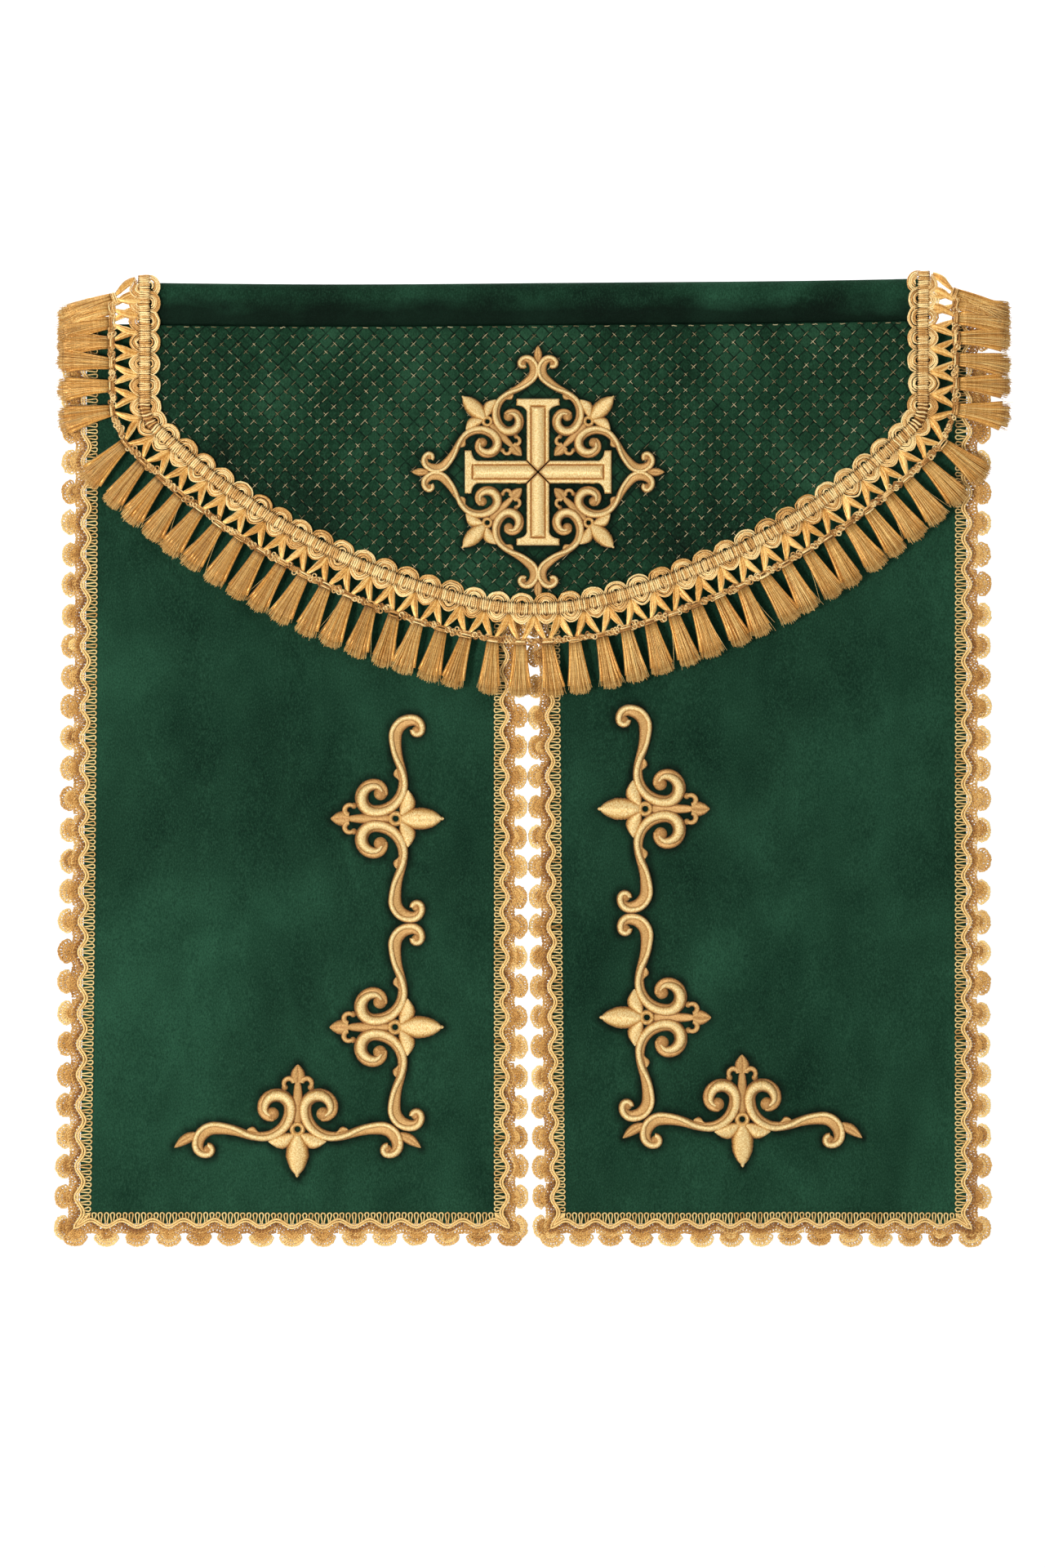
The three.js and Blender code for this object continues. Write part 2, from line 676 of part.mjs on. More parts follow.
// ---- Curtains -----------------------------------------------------------------------------
function makeCurtain(side, word) {
  const inner = CURTAIN_INNER;
  const outer = CURTAIN_INNER + CURTAIN_WIDTH;
  const top = -SLEEVE_HEIGHT / 2 - GAP;
  const fold = FOLD_Z;
  const bottom = CURTAIN_BOTTOM - UNDER_LACE;
  const [low, high] = [fold - GAP / 2, fold + GAP / 2];
  const velvet = (z0, z1) => sided(side, inner - UNDER_LACE, outer + UNDER_LACE, z0, z1);
  const lining = (z0, z1) => sided(side, inner - UNDER_LACE + 2, outer + UNDER_LACE - 2, z0, z1);

  addSlab(word + "_curtain_top", velvet(high, top), CURTAIN_BACK, VELVET, velvetGreen);
  addSlab(word + "_lining_top", lining(high, top), LINING_BACK, LINING, liningGreen);
  uprightLace(word + "_outer_lace_top", side, outer, 1, high, top);
  uprightLace(word + "_inner_lace_top", side, inner, -1, high, top - 12);

  addSlab(word + "_curtain", velvet(bottom, low), CURTAIN_BACK, VELVET, velvetGreen);
  addSlab(word + "_lining", lining(bottom + 2, low), LINING_BACK, LINING, liningGreen);
  uprightLace(word + "_outer_lace", side, outer, 1, CURTAIN_BOTTOM, low);
  uprightLace(word + "_inner_lace", side, inner, -1, CURTAIN_BOTTOM, low);
  bottomLace(word + "_bottom_lace", side);

  const edge = CURTAIN_CENTRE + side * inner - STITCHED_LEFT;
  const drop = side * LEFT_DROP;
  const back = CURTAIN_FRONT - GAP;
  const upright = { turn: side < 0 ? 0 : 180, x: edge + side * STEM_FROM_EDGE, back };
  const scrolls = {
    upper_scroll: { ...upright, z: UPPER_EYELET + drop },
    lower_scroll: { ...upright, z: LOWER_EYELET + drop },
    base_scroll: {
      turn: 270,
      x: edge + side * BASE_FROM_EDGE,
      z: BASE_EYELET + drop,
      back,
      buds: [-1, 1],
    },
  };
  for (const [name, options] of Object.entries(scrolls)) {
    addMesh(word + "_" + name, motifGeometry(options), threadGold);
  }
}

makeSleeve();
makeSeamTape();
makeValance();
makeFringe();
makeSleeveEnd(-1, "left");
makeSleeveEnd(1, "right");
makeCross();
makeCurtain(-1, "left");
makeCurtain(1, "right");

export default veil;
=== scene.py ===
"""A tabernacle veil: velvet curtains edged with gold lace under a quilted, fringed valance.

Lengths are in millimetres until a piece becomes a mesh, and MM turns them into metres there.
+X is along the rod, +Z is up, and the embroidered front faces -Y.
"""

import json
import math

import bpy
import numpy as np
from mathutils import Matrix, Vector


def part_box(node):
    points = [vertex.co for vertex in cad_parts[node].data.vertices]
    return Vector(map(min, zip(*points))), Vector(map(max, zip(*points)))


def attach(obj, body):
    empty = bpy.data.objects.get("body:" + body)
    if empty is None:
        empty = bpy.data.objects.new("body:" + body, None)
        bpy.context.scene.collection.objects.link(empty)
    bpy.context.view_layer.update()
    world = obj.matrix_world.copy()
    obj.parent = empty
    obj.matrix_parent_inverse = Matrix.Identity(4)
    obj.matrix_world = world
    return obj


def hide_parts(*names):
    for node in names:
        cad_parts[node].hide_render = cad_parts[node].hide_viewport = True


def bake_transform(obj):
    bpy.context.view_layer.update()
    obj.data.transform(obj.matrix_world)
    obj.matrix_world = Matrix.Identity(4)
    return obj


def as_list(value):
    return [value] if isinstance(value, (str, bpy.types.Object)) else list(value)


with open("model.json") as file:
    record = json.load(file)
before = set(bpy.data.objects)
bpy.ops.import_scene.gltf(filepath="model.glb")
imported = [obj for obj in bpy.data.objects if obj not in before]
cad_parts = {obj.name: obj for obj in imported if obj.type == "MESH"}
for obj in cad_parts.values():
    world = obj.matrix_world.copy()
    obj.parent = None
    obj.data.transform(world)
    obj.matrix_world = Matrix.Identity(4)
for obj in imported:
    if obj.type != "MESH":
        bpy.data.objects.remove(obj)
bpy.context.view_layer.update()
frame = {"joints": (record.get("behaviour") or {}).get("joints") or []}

MM = 0.001
TAU = 2 * math.pi


def box_mm(node):
    """A CAD node's lowest and highest corners at rest, in millimetres."""
    low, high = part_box(node)
    return np.array(low) / MM, np.array(high) / MM


# ---- Places taken from the frame ------------------------------------------------------------
SLEEVE_LOW, SLEEVE_HIGH = box_mm("rod_sleeve")
PANEL_LOW, PANEL_HIGH = box_mm("valance_panel")
CURTAIN_LOW, CURTAIN_HIGH = box_mm("left_curtain")
RIGHT_LOW, RIGHT_HIGH = box_mm("right_curtain")
JOINTS = {joint["name"]: joint for joint in frame["joints"]}
SEAM_Z = JOINTS["valance_lift"]["pos_m"][2] / MM

# how far the velvet runs on under its trims
UNDER_BRAID = 11.0
UNDER_LACE = 7.0
HALF_WIDTH = PANEL_HIGH[0] - UNDER_BRAID
VALANCE_BOTTOM = PANEL_LOW[2] + UNDER_BRAID
VELVET = PANEL_HIGH[1] - PANEL_LOW[1]
PANEL_FRONT = PANEL_LOW[1]
CURTAIN_FRONT = CURTAIN_LOW[1]
CURTAIN_TOP = box_mm("left_curtain_top")[1][2]
CURTAIN_BOTTOM = CURTAIN_LOW[2] + UNDER_LACE
SLIT_X = (CURTAIN_HIGH[0] + RIGHT_LOW[0]) / 2
LOOPS_IN = RIGHT_LOW[0] + UNDER_LACE - SLIT_X
LOOPS_OUT = RIGHT_HIGH[0] - UNDER_LACE - SLIT_X

# the valance's edge: arcs of a middle, a flank and a corner, then a straight side
MIDDLE_RADIUS, MIDDLE_ANGLE = 160.0, math.radians(14)
FLANK_ANGLE = math.radians(44)
CORNER_RADIUS = 12.0
SCALLOP_PITCH = 14.1
# the fringe, measured out from the valance's edge: its two rows of half rounds, necks and ends
BAND_TOP, BAND_FOOT = 5.8, 12.6
KNOT_AT = 29.5
TASSEL_END = 63.0
# how far a neck reaches either side of its middle, and how far the last tassels droop
NECK_HALF, DROOP = 3.1, 3.0

FRONT = np.array([0.0, -1.0, 0.0])
rng = np.random.default_rng(7)


# ---- Meshes from arrays ---------------------------------------------------------------------
class Work:
    """Surfaces gathered as arrays of points, faces, thread coordinates and tones, for one mesh."""

    def __init__(self):
        self.points, self.threads, self.tones, self.faces, self.count = [], [], [], [], 0

    def add(self, points, faces, threads=None, tone=0.5):
        """Adds points (n, 3), lists of faces over them, thread coordinates (n, 2) and a tone."""
        points = np.asarray(points, float).reshape(-1, 3)
        n = len(points)
        self.points.append(points)
        self.threads.append(np.zeros((n, 2)) if threads is None else np.reshape(threads, (n, 2)))
        self.tones.append(np.broadcast_to(np.asarray(tone, float).ravel(), (n,)))
        self.faces += [np.asarray(f, np.int64) + self.count for f in faces if len(f)]
        self.count += n
        return self

    def shaped(self, change):
        """Moves every point gathered so far by a function of all of them."""
        self.points = [change(np.concatenate(self.points))]
        return self

    def mesh(self, name, material, slot):
        """One object from what was gathered; thread coordinates become its UV map."""
        points = np.concatenate(self.points) * MM
        threads, tones = np.concatenate(self.threads), np.concatenate(self.tones)
        corners = np.concatenate([f.ravel() for f in self.faces])
        sizes = np.concatenate([np.full(len(f), f.shape[1]) for f in self.faces])
        data = bpy.data.meshes.new(name)
        data.vertices.add(len(points))
        data.vertices.foreach_set("co", points.astype(np.float32).ravel())
        data.loops.add(len(corners))
        data.loops.foreach_set("vertex_index", corners.astype(np.int32))
        data.polygons.add(len(sizes))
        starts = np.concatenate([[0], np.cumsum(sizes)[:-1]])
        data.polygons.foreach_set("loop_start", starts.astype(np.int32))
        data.polygons.foreach_set("loop_total", sizes.astype(np.int32))
        data.update(calc_edges=True)
        data.polygons.foreach_set("use_smooth", np.ones(len(sizes), bool))
        uv = data.uv_layers.new(name="thread")
        uv.data.foreach_set("uv", (threads[corners] * MM).astype(np.float32).ravel())
        tone = data.attributes.new("tone", "FLOAT", "POINT")
        tone.data.foreach_set("value", tones.astype(np.float32))
        data.materials.append(material)
        piece = bpy.data.objects.new(name, data)
        bpy.context.scene.collection.objects.link(piece)
        return piece


def grid_faces(rows, columns, around=False):
    """Quads of a grid of points, turned so that (next row) x (next column) points outwards."""
    i, j = np.meshgrid(np.arange(rows - 1), np.arange(columns if around else columns - 1), indexing="ij")
    k = (j + 1) % columns
    a, b, c, d = i * columns + j, (i + 1) * columns + j, (i + 1) * columns + k, i * columns + k
    return np.stack([a, b, c, d], axis=-1).reshape(-1, 4)


def unit(v):
    """Vectors over their lengths."""
    return v / np.maximum(np.linalg.norm(v, axis=-1, keepdims=True), 1e-12)


def tubes(work, paths, radius, sides=5, closed=False, tone=None):
    """Threads along many lines at once, as closed tubes.

    Round each path point p goes a ring p + r cos(a) side + r sin(a) lift, where side is the line's
    direction crossed with the front and lift is side crossed with the direction.
    """
    p = np.asarray(paths, float)
    p = p[None] if p.ndim == 2 else p
    count, length = p.shape[:2]
    if closed:
        along = np.roll(p, -1, 1) - np.roll(p, 1, 1)
    else:
        along = np.gradient(p, axis=1)
    along = unit(along)
    side = np.cross(along, FRONT)
    flat = np.linalg.norm(side, axis=-1, keepdims=True) < 1e-3
    side = unit(np.where(flat, np.array([1.0, 0, 0]), side))
    lift = np.cross(side, along)
    r = np.broadcast_to(np.asarray(radius, float), (count, length))[..., None, None]
    a = (TAU * np.arange(sides) / sides)[None, None, :, None]
    ring = p[:, :, None] + r * (np.cos(a) * side[:, :, None] + np.sin(a) * lift[:, :, None])
    if closed:
        ring = np.concatenate([ring, ring[:, :1]], axis=1)[:, :length]
    block = np.arange(count)[:, None, None] * length * sides
    wall = grid_faces(length, sides, around=True)
    if closed:
        j = np.arange(sides)
        last = (length - 1) * sides
        wall = np.concatenate(
            [wall, np.stack([last + j, j, (j + 1) % sides, last + (j + 1) % sides], -1)]
        )
    faces = [(block + wall).reshape(-1, 4)]
    if not closed:
        cap = np.arange(sides)[None]
        faces += [
            (block[:, 0] + cap),
            (block[:, 0] + (length - 1) * sides + cap[:, ::-1]),
        ]
    run = np.linalg.norm(np.diff(p, axis=1, prepend=p[:, :1]), axis=-1).cumsum(1)
    threads = np.stack(
        [
            np.broadcast_to(run[..., None], ring.shape[:3]),
            np.broadcast_to(np.arange(sides) * 0.6, ring.shape[:3]),
        ],
        -1,
    )
    tone = rng.random(count) if tone is None else np.broadcast_to(tone, (count,))
    work.add(ring, faces, threads, np.broadcast_to(tone[:, None, None], ring.shape[:3]))
    return work


def slab(work, front, thickness, threads=None, tone=0.5, back=None):
    """A closed sheet: a grid of front points, the same grid further back, and a rim round both."""
    rows, columns = front.shape[:2]
    back = front + np.array([0, thickness, 0]) if back is None else back
    n = rows * columns
    face = grid_faces(rows, columns)
    rim = np.concatenate(
        [
            np.arange(columns - 1),
            np.arange(columns - 1, n - 1, columns),
            np.arange(n - 1, n - columns, -1),
            np.arange(n - columns, 0, -columns),
        ]
    )
    after = np.roll(rim, -1)
    sides = np.stack([rim, after, after + n, rim + n], -1)
    points = np.concatenate([front.reshape(-1, 3), back.reshape(-1, 3)])
    threads = points[:, [0, 2]] if threads is None else np.concatenate([threads.reshape(-1, 2)] * 2)
    return work.add(points, [face, face[:, ::-1] + n, sides], threads, tone)


# ---- Hang of the cloth ----------------------------------------------------------------------
def sleeve_sag(points):
    """The top hem hangs a little low in the middle and higher at the right, fading down."""
    x, z = points[:, 0] / HALF_WIDTH, points[:, 2]
    fade = np.clip((z + 90) / 76, 0, 1)
    lift = -1.6 + 1.6 * x**2 + 1.4 * x + 0.25 * np.sin(4.4 * x + 1)
    moved = points.copy()
    moved[:, 2] += lift * fade * fade * (3 - 2 * fade)
    return moved


def curtain_hang(side):
    """Slow waves back and forth that grow towards the hem, and edges that flare a little.

    The waves are sines across the width with a slow drift down the drop; nothing moves at the top.
    """

    def change(points):
        x, z = points[:, 0], points[:, 2]
        drop = np.clip((CURTAIN_TOP - z) / (CURTAIN_TOP - CURTAIN_BOTTOM), 0, 1.1)
        across = np.clip((side * (x - SLIT_X) - LOOPS_IN) / (LOOPS_OUT - LOOPS_IN), -0.1, 1.1)
        wave = 1.5 * np.sin(TAU * (across * 1.25 + 0.14 * side) + 1.8 * drop)
        wave += 0.8 * np.sin(TAU * across * 2.6 + 4.0 * drop + side)
        wave += 0.5 * np.sin(TAU * (across * 0.7 + drop * 1.9))
        moved = points.copy()
        moved[:, 1] += drop**1.3 * (wave + 1.2)
        moved[:, 0] += np.where(side < 0, -4.5 * across, 4.0 * (1 - across)) * drop**2
        return moved

    return change


# ---- Materials ------------------------------------------------------------------------------
def srgb(*levels):
    """A colour given on the 0 to 255 display scale, as linear light."""
    c = np.array(levels) / 255
    return (*np.where(c <= 0.04045, c / 12.92, ((c + 0.055) / 1.055) ** 2.4), 1.0)


def shade(colour, share):
    """A display colour made darker or lighter by a share of itself."""
    return srgb(*[level * share for level in colour])


class Finish:
    """A material being made: add() makes a node and links what it is given."""

    def __init__(self, name, **sockets):
        self.material = bpy.data.materials.new(name)
        self.material.use_nodes = True
        self.tree = self.material.node_tree
        self.shader = self.tree.nodes["Principled BSDF"]
        for socket, value in sockets.items():
            self.shader.inputs[socket.replace("_", " ")].default_value = value

    def add(self, kind, settings=None, **inputs):
        node = self.tree.nodes.new("ShaderNode" + kind)
        for key, value in (settings or {}).items():
            setattr(node, key, value)
        for key, value in inputs.items():
            self.join(value, node.inputs[int(key[1:]) if key[0] == "i" and key[1:].isdigit() else key])
        return node

    def join(self, value, socket):
        if isinstance(value, bpy.types.NodeSocket):
            self.tree.links.new(value, socket)
        else:
            socket.default_value = value

    def place(self, stretch=(1, 1, 1), turn=0.0, source="Object"):
        """Object or thread coordinates, stretched and turned about Y or the sheet's normal."""
        if source == "Object":
            at = self.add("TexCoord").outputs["Object"]
            rotation = (0, turn, 0)
        else:
            at = self.add("UVMap", {"uv_map": "thread"}).outputs["UV"]
            rotation = (0, 0, turn)
        return self.add("Mapping", Vector=at, Scale=stretch, Rotation=rotation).outputs["Vector"]

    def noise(self, where, scale, detail=3.0, rough=0.55, distort=0.0):
        node = self.add(
            "TexNoise", Vector=where, Scale=scale, Detail=detail, Roughness=rough, Distortion=distort
        )
        return node.outputs["Fac"]

    def spread(self, value, low, high, to_low=0.0, to_high=1.0):
        """The value's stretch from low to high, laid out from to_low to to_high and held there."""
        node = self.add("MapRange", i0=value, i1=low, i2=high, i3=to_low, i4=to_high)
        return node.outputs[0]

    def maths(self, operation, a, b=0.0):
        """One step of arithmetic on sockets or numbers."""
        return self.add("Math", {"operation": operation}, i0=a, i1=b).outputs[0]

    def sum(self, a, b):
        return self.maths("ADD", a, b)

    def times(self, a, b):
        return self.maths("MULTIPLY", a, b)

    def weigh(self, *parts):
        """The sum of value times weight over (value, weight) pairs."""
        total, *others = (self.times(value, weight) for value, weight in parts)
        for other in others:
            total = self.sum(total, other)
        return total

    def specular(self, level):
        """How much the bare surface mirrors, on the shader's own socket."""
        self.shader.inputs["Specular IOR Level"].default_value = level

    def blend(self, share, a, b):
        """The colour a share of the way from a to b."""
        node = self.add("Mix", {"data_type": "RGBA"})
        self.join(share, node.inputs["Factor"])
        self.join(a, node.inputs[6])
        self.join(b, node.inputs[7])
        return node.outputs[2]

    def finish(self, colour, height=None, depth=0.0002, strength=0.5):
        self.join(colour, self.shader.inputs["Base Color"])
        if height is not None:
            bump = self.add("Bump", Height=height, Distance=depth, Strength=strength)
            self.tree.links.new(bump.outputs["Normal"], self.shader.inputs["Normal"])
        return self.material


def pile(finish, dark, middle, light, seed=0.0):
    """Crushed velvet colour: broad clouds, brushed patches and the speckle of the pile."""
    where = finish.place()
    broad = finish.noise(where, 7.0 + seed, 3.0, 0.5, 0.6)
    brushed = finish.noise(finish.place((1.0, 1.0, 0.55), 0.5), 34.0 + seed, 4.0, 0.6, 0.4)
    tufts = finish.noise(finish.place((1.0, 1.0, 0.6), 0.3), 1250.0, 3.0, 0.7)
    clouds = finish.weigh((broad, 0.62), (brushed, 0.38))
    colour = finish.blend(finish.spread(clouds, 0.36, 0.5), srgb(*dark), srgb(*middle))
    colour = finish.blend(finish.spread(clouds, 0.5, 0.66), colour, srgb(*light))
    colour = finish.blend(finish.spread(tufts, 0.5, 0.28, 0, 0.6), colour, srgb(3, 12, 7))
    return finish.blend(finish.spread(tufts, 0.5, 0.75, 0, 0.3), colour, srgb(60, 104, 78)), tufts


def pile_shader(name):
    finish = Finish(name, Roughness=0.85, Sheen_Weight=0.1, Sheen_Roughness=0.35)
    finish.shader.inputs["Sheen Tint"].default_value = srgb(90, 190, 140)
    finish.specular(0.07)
    return finish


def painted_stitch_shade(finish, colour, most):
    """Painted shade round the embroidery, on pile pushed down beside it, in streaks that fade away from it.
    """
    near = finish.add("Attribute", {"attribute_name": "tone"}).outputs["Fac"]
    streaks = finish.noise(finish.place((1.0, 1.0, 0.35), 0.4), 150.0, 3.0, 0.6)
    near = finish.times(near, finish.spread(streaks, 0.3, 0.7, 0.55, 1.25))
    # the dark it fades to is painted contact shade
    return finish.blend(finish.spread(near, 0.08, 0.9, 0.0, most), colour, srgb(6, 18, 10))


def velvet(name, dark, middle, light):
    """Cut-pile velvet with a soft sheen against the lie of the pile."""
    finish = pile_shader(name)
    colour, tufts = pile(finish, dark, middle, light)
    # painted shade on the pile round the embroidery
    colour = painted_stitch_shade(finish, colour, 0.85)
    return finish.finish(colour, tufts, 0.0006, 0.5)


def sleeve_velvet_shaded_below(name, dark, middle, light):
    """Velvet with painted shade over its lower half, deepening downwards and broken by patches."""
    finish = pile_shader(name)
    colour, tufts = pile(finish, dark, middle, light, 6.0)
    height = finish.add("SeparateXYZ", Vector=finish.place()).outputs[2]
    patchy = finish.noise(finish.place((1, 1, 2.5)), 26.0, 3.0, 0.55)
    level = finish.sum(height, finish.times(finish.sum(patchy, -0.5), 0.022))
    # painted shade from a little above the sleeve's middle height downwards
    colour = finish.blend(finish.spread(level, 0.004, -0.006, 0.0, 0.8), colour, srgb(4, 13, 7))
    return finish.finish(colour, tufts, 0.0006, 0.5)


def quilted_velvet(name, pitch):
    """Velvet with dark stitched lines where x + z and x - z are whole numbers of half a lozenge."""
    finish = pile_shader(name)
    colour, tufts = pile(finish, (7, 24, 13), (18, 48, 30), (36, 71, 49), 1.5)
    # painted shade on the pile round the embroidery
    colour = painted_stitch_shade(finish, colour, 0.9)
    at = finish.add("SeparateXYZ", Vector=finish.place()).outputs
    lines = None
    for how in ("ADD", "SUBTRACT"):
        slant = finish.times(finish.maths(how, at[0], at[2]), 1 / (pitch * MM))
        line = finish.spread(finish.maths("PINGPONG", slant, 0.5), 0.03, 0.075, 1.0, 0.0)
        lines = line if lines is None else finish.maths("MAXIMUM", lines, line)
    broken = finish.spread(finish.noise(finish.place(), 420.0, 1.0), 0.4, 0.6, 0.55, 1.0)
    shown = finish.times(finish.times(lines, broken), 0.9)
    colour = finish.blend(shown, colour, srgb(4, 14, 8))
    height = finish.maths("SUBTRACT", finish.times(tufts, 0.5), lines)
    return finish.finish(colour, height, 0.0005, 0.5)


def satin(name, colour, hem=7.0):
    """Lining satin: a fine cross weave, slubs, long soft folds, and a row of hem stitches.

    A curtain's lining has its distances from the two nearest edges as thread coordinates, so the
    lesser is the distance from the edge, and the greater runs along the row of stitches. Other
    cloths have x and z there, of which the lesser is below zero, so no row shows on them.
    """
    finish = Finish(name, Roughness=0.55, Sheen_Weight=0.04)
    finish.specular(0.15)
    weave = finish.noise(finish.place((1, 1, 12)), 900.0, 2.0)
    slubs = finish.noise(finish.place((14, 1, 1)), 60.0, 3.0, 0.6)
    folds = finish.noise(finish.place((1, 1, 0.3)), 16.0, 3.0, 0.5)
    # the folds' share of the tint is painted shade along the folds; weave and slubs vary the satin's own
    # tone
    level = finish.weigh((weave, 0.3), (slubs, 0.3), (folds, 0.4))
    tint = finish.blend(finish.spread(level, 0.4, 0.6), shade(colour, 0.72), shade(colour, 1.3))
    at = finish.add("SeparateXYZ", Vector=finish.place(source="thread")).outputs
    near, along = (finish.maths(how, at[0], at[1]) for how in ("MINIMUM", "MAXIMUM"))
    off = finish.maths("ABSOLUTE", finish.sum(near, -hem * MM))
    row = finish.spread(off, 0.0003, 0.0011, 1.0, 0.0)
    dash = finish.spread(finish.maths("PINGPONG", along, 0.0016), 0.0002, 0.0006, 0.35, 1.0)
    row = finish.times(row, dash)
    tint = finish.blend(finish.times(row, 0.75), tint, shade(colour, 0.4))
    height = finish.maths("SUBTRACT", finish.weigh((weave, 0.15), (folds, 1.2)), row)
    return finish.finish(tint, height, 0.0012, 0.5)


def gold_thread(name, dark, middle, light, pitch=0.45, slant=0.25, groove=0.6, metal=0.3, rough=0.4):
    """Gold thread laid side by side: bands along the thread coordinates, broken by fine noise.

    Every strand has its own tone from dark to light, and painted shade, darker than dark, lies in the
    grooves between strands. Without a pitch the threads are drawn strands, streaked along their length.
    """
    finish = Finish(name, Roughness=rough, Metallic=metal, Sheen_Weight=0.1)
    finish.specular(0.45)
    grain = finish.noise(finish.place((1, 0.35, 1), slant, "thread"), 1900.0, 2.0, 0.6)
    flecks = finish.noise(finish.place(), 1500.0, 2.0, 0.6)
    tone = finish.add("Attribute", {"attribute_name": "tone"}).outputs["Fac"]
    share = 0.34 if pitch else 0.4
    level = finish.weigh((finish.weigh((grain, 0.5), (flecks, 0.5)), 1 - share), (tone, share))
    colour = finish.blend(finish.spread(level, 0.37, 0.5), srgb(*dark), srgb(*middle))
    colour = finish.blend(finish.spread(level, 0.5, 0.64), colour, srgb(*light))
    height = grain
    if pitch:
        bands = finish.add(
            "TexWave",
            {"wave_type": "BANDS", "bands_direction": "X"},
            Vector=finish.place((1, 1, 1), slant, "thread"),
            Scale=0.314 / (pitch * MM),
            Distortion=2.0,
            Detail=2.0,
        )
        bands.inputs["Detail Scale"].default_value = 1.5
        # the grooves between the bands get painted shade, darker than dark
        ridge = finish.spread(bands.outputs["Fac"], 0.0, 0.45, 1 - groove, 1.0)
        colour = finish.blend(ridge, shade(dark, 0.72), colour)
        height = finish.sum(bands.outputs["Fac"], grain)
    return finish.finish(colour, height, 0.00016, 0.55)


CURTAIN_VELVET = velvet("curtain velvet", (11, 39, 25), (22, 54, 37), (32, 70, 50))
SLEEVE_VELVET = sleeve_velvet_shaded_below("sleeve velvet", (6, 24, 14), (16, 45, 29), (31, 68, 48))
LOZENGE = 9.8
QUILTED = quilted_velvet("quilted velvet", LOZENGE)
LINING = satin("lining satin", (20, 54, 37))
TAPE = satin("seam tape", (20, 42, 31))
STITCH_GOLD = gold_thread("lattice thread", (112, 96, 56), (172, 154, 106), (216, 200, 156), 0.5)
ROPE_GOLD = gold_thread(
    "padded satin stitch", (158, 98, 34), (218, 168, 90), (255, 234, 172), 0.42, 0.25, 0.5
)
FLAT_GOLD = gold_thread(
    "flat satin stitch", (132, 82, 32), (188, 136, 70), (228, 184, 114), 0.42, 0.1, 0.6
)
LACE_GOLD = gold_thread(
    "lace thread", (144, 90, 28), (212, 157, 76), (255, 222, 148), 0.8, 0.5, 0.4
)
BRAID_GOLD = gold_thread(
    "gimp thread", (152, 98, 34), (214, 160, 84), (255, 226, 160), 0.8, 0.5, 0.35
)
FLOSS_GOLD = gold_thread(
    "tassel floss", (166, 106, 36), (218, 160, 74), (252, 214, 136), 0.0, 0.0, 0.0, 0.35, 0.32
)


# ---- The valance's edge ---------------------------------------------------------------------
def edge_arcs():
    """Arcs of the right half as (radius, start angle, end angle, x, z, start length)."""
    flank = HALF_WIDTH - MIDDLE_RADIUS * math.sin(MIDDLE_ANGLE)
    flank -= CORNER_RADIUS * (1 - math.sin(FLANK_ANGLE))
    flank /= math.sin(FLANK_ANGLE) - math.sin(MIDDLE_ANGLE)
    x, z, s, arcs = 0.0, VALANCE_BOTTOM, 0.0, []
    stops = [0, MIDDLE_ANGLE, FLANK_ANGLE, math.pi / 2]
    for radius, a, b in zip((MIDDLE_RADIUS, flank, CORNER_RADIUS), stops, stops[1:]):
        arcs.append((radius, a, b, x, z, s))
        x += radius * (math.sin(b) - math.sin(a))
        z += radius * (math.cos(a) - math.cos(b))
        s += radius * (b - a)
    return arcs, x, z, s


ARCS, SIDE_X, SIDE_Z, SIDE_S = edge_arcs()
EDGE_HALF = SIDE_S + (SEAM_Z - 0.3 - SIDE_Z)
UNITS = 2 * round(EDGE_HALF / SCALLOP_PITCH)
PITCH = 2 * EDGE_HALF / UNITS


def on_edge(s, out, y):
    """Points at distance s along the valance's edge, out from it, and y back from the front.

    On an arc, the place is its start plus radius times the change of (sin, -cos) of the angle.
    """
    s, out, y = np.broadcast_arrays(np.asarray(s, float), out, y)
    far, side = np.abs(s), np.where(s < 0, -1.0, 1.0)
    angle = np.full(s.shape, math.pi / 2)
    x = np.full(s.shape, SIDE_X)
    z = SIDE_Z + far - SIDE_S
    for radius, a, b, x0, z0, s0 in reversed(ARCS):
        on = far <= s0 + radius * (b - a)
        turn = a + (far - s0) / radius
        angle = np.where(on, turn, angle)
        x = np.where(on, x0 + radius * (np.sin(turn) - math.sin(a)), x)
        z = np.where(on, z0 + radius * (math.cos(a) - np.cos(turn)), z)
    return np.stack(
        [side * (x + np.sin(angle) * out), y, z - np.cos(angle) * out], axis=-1
    )


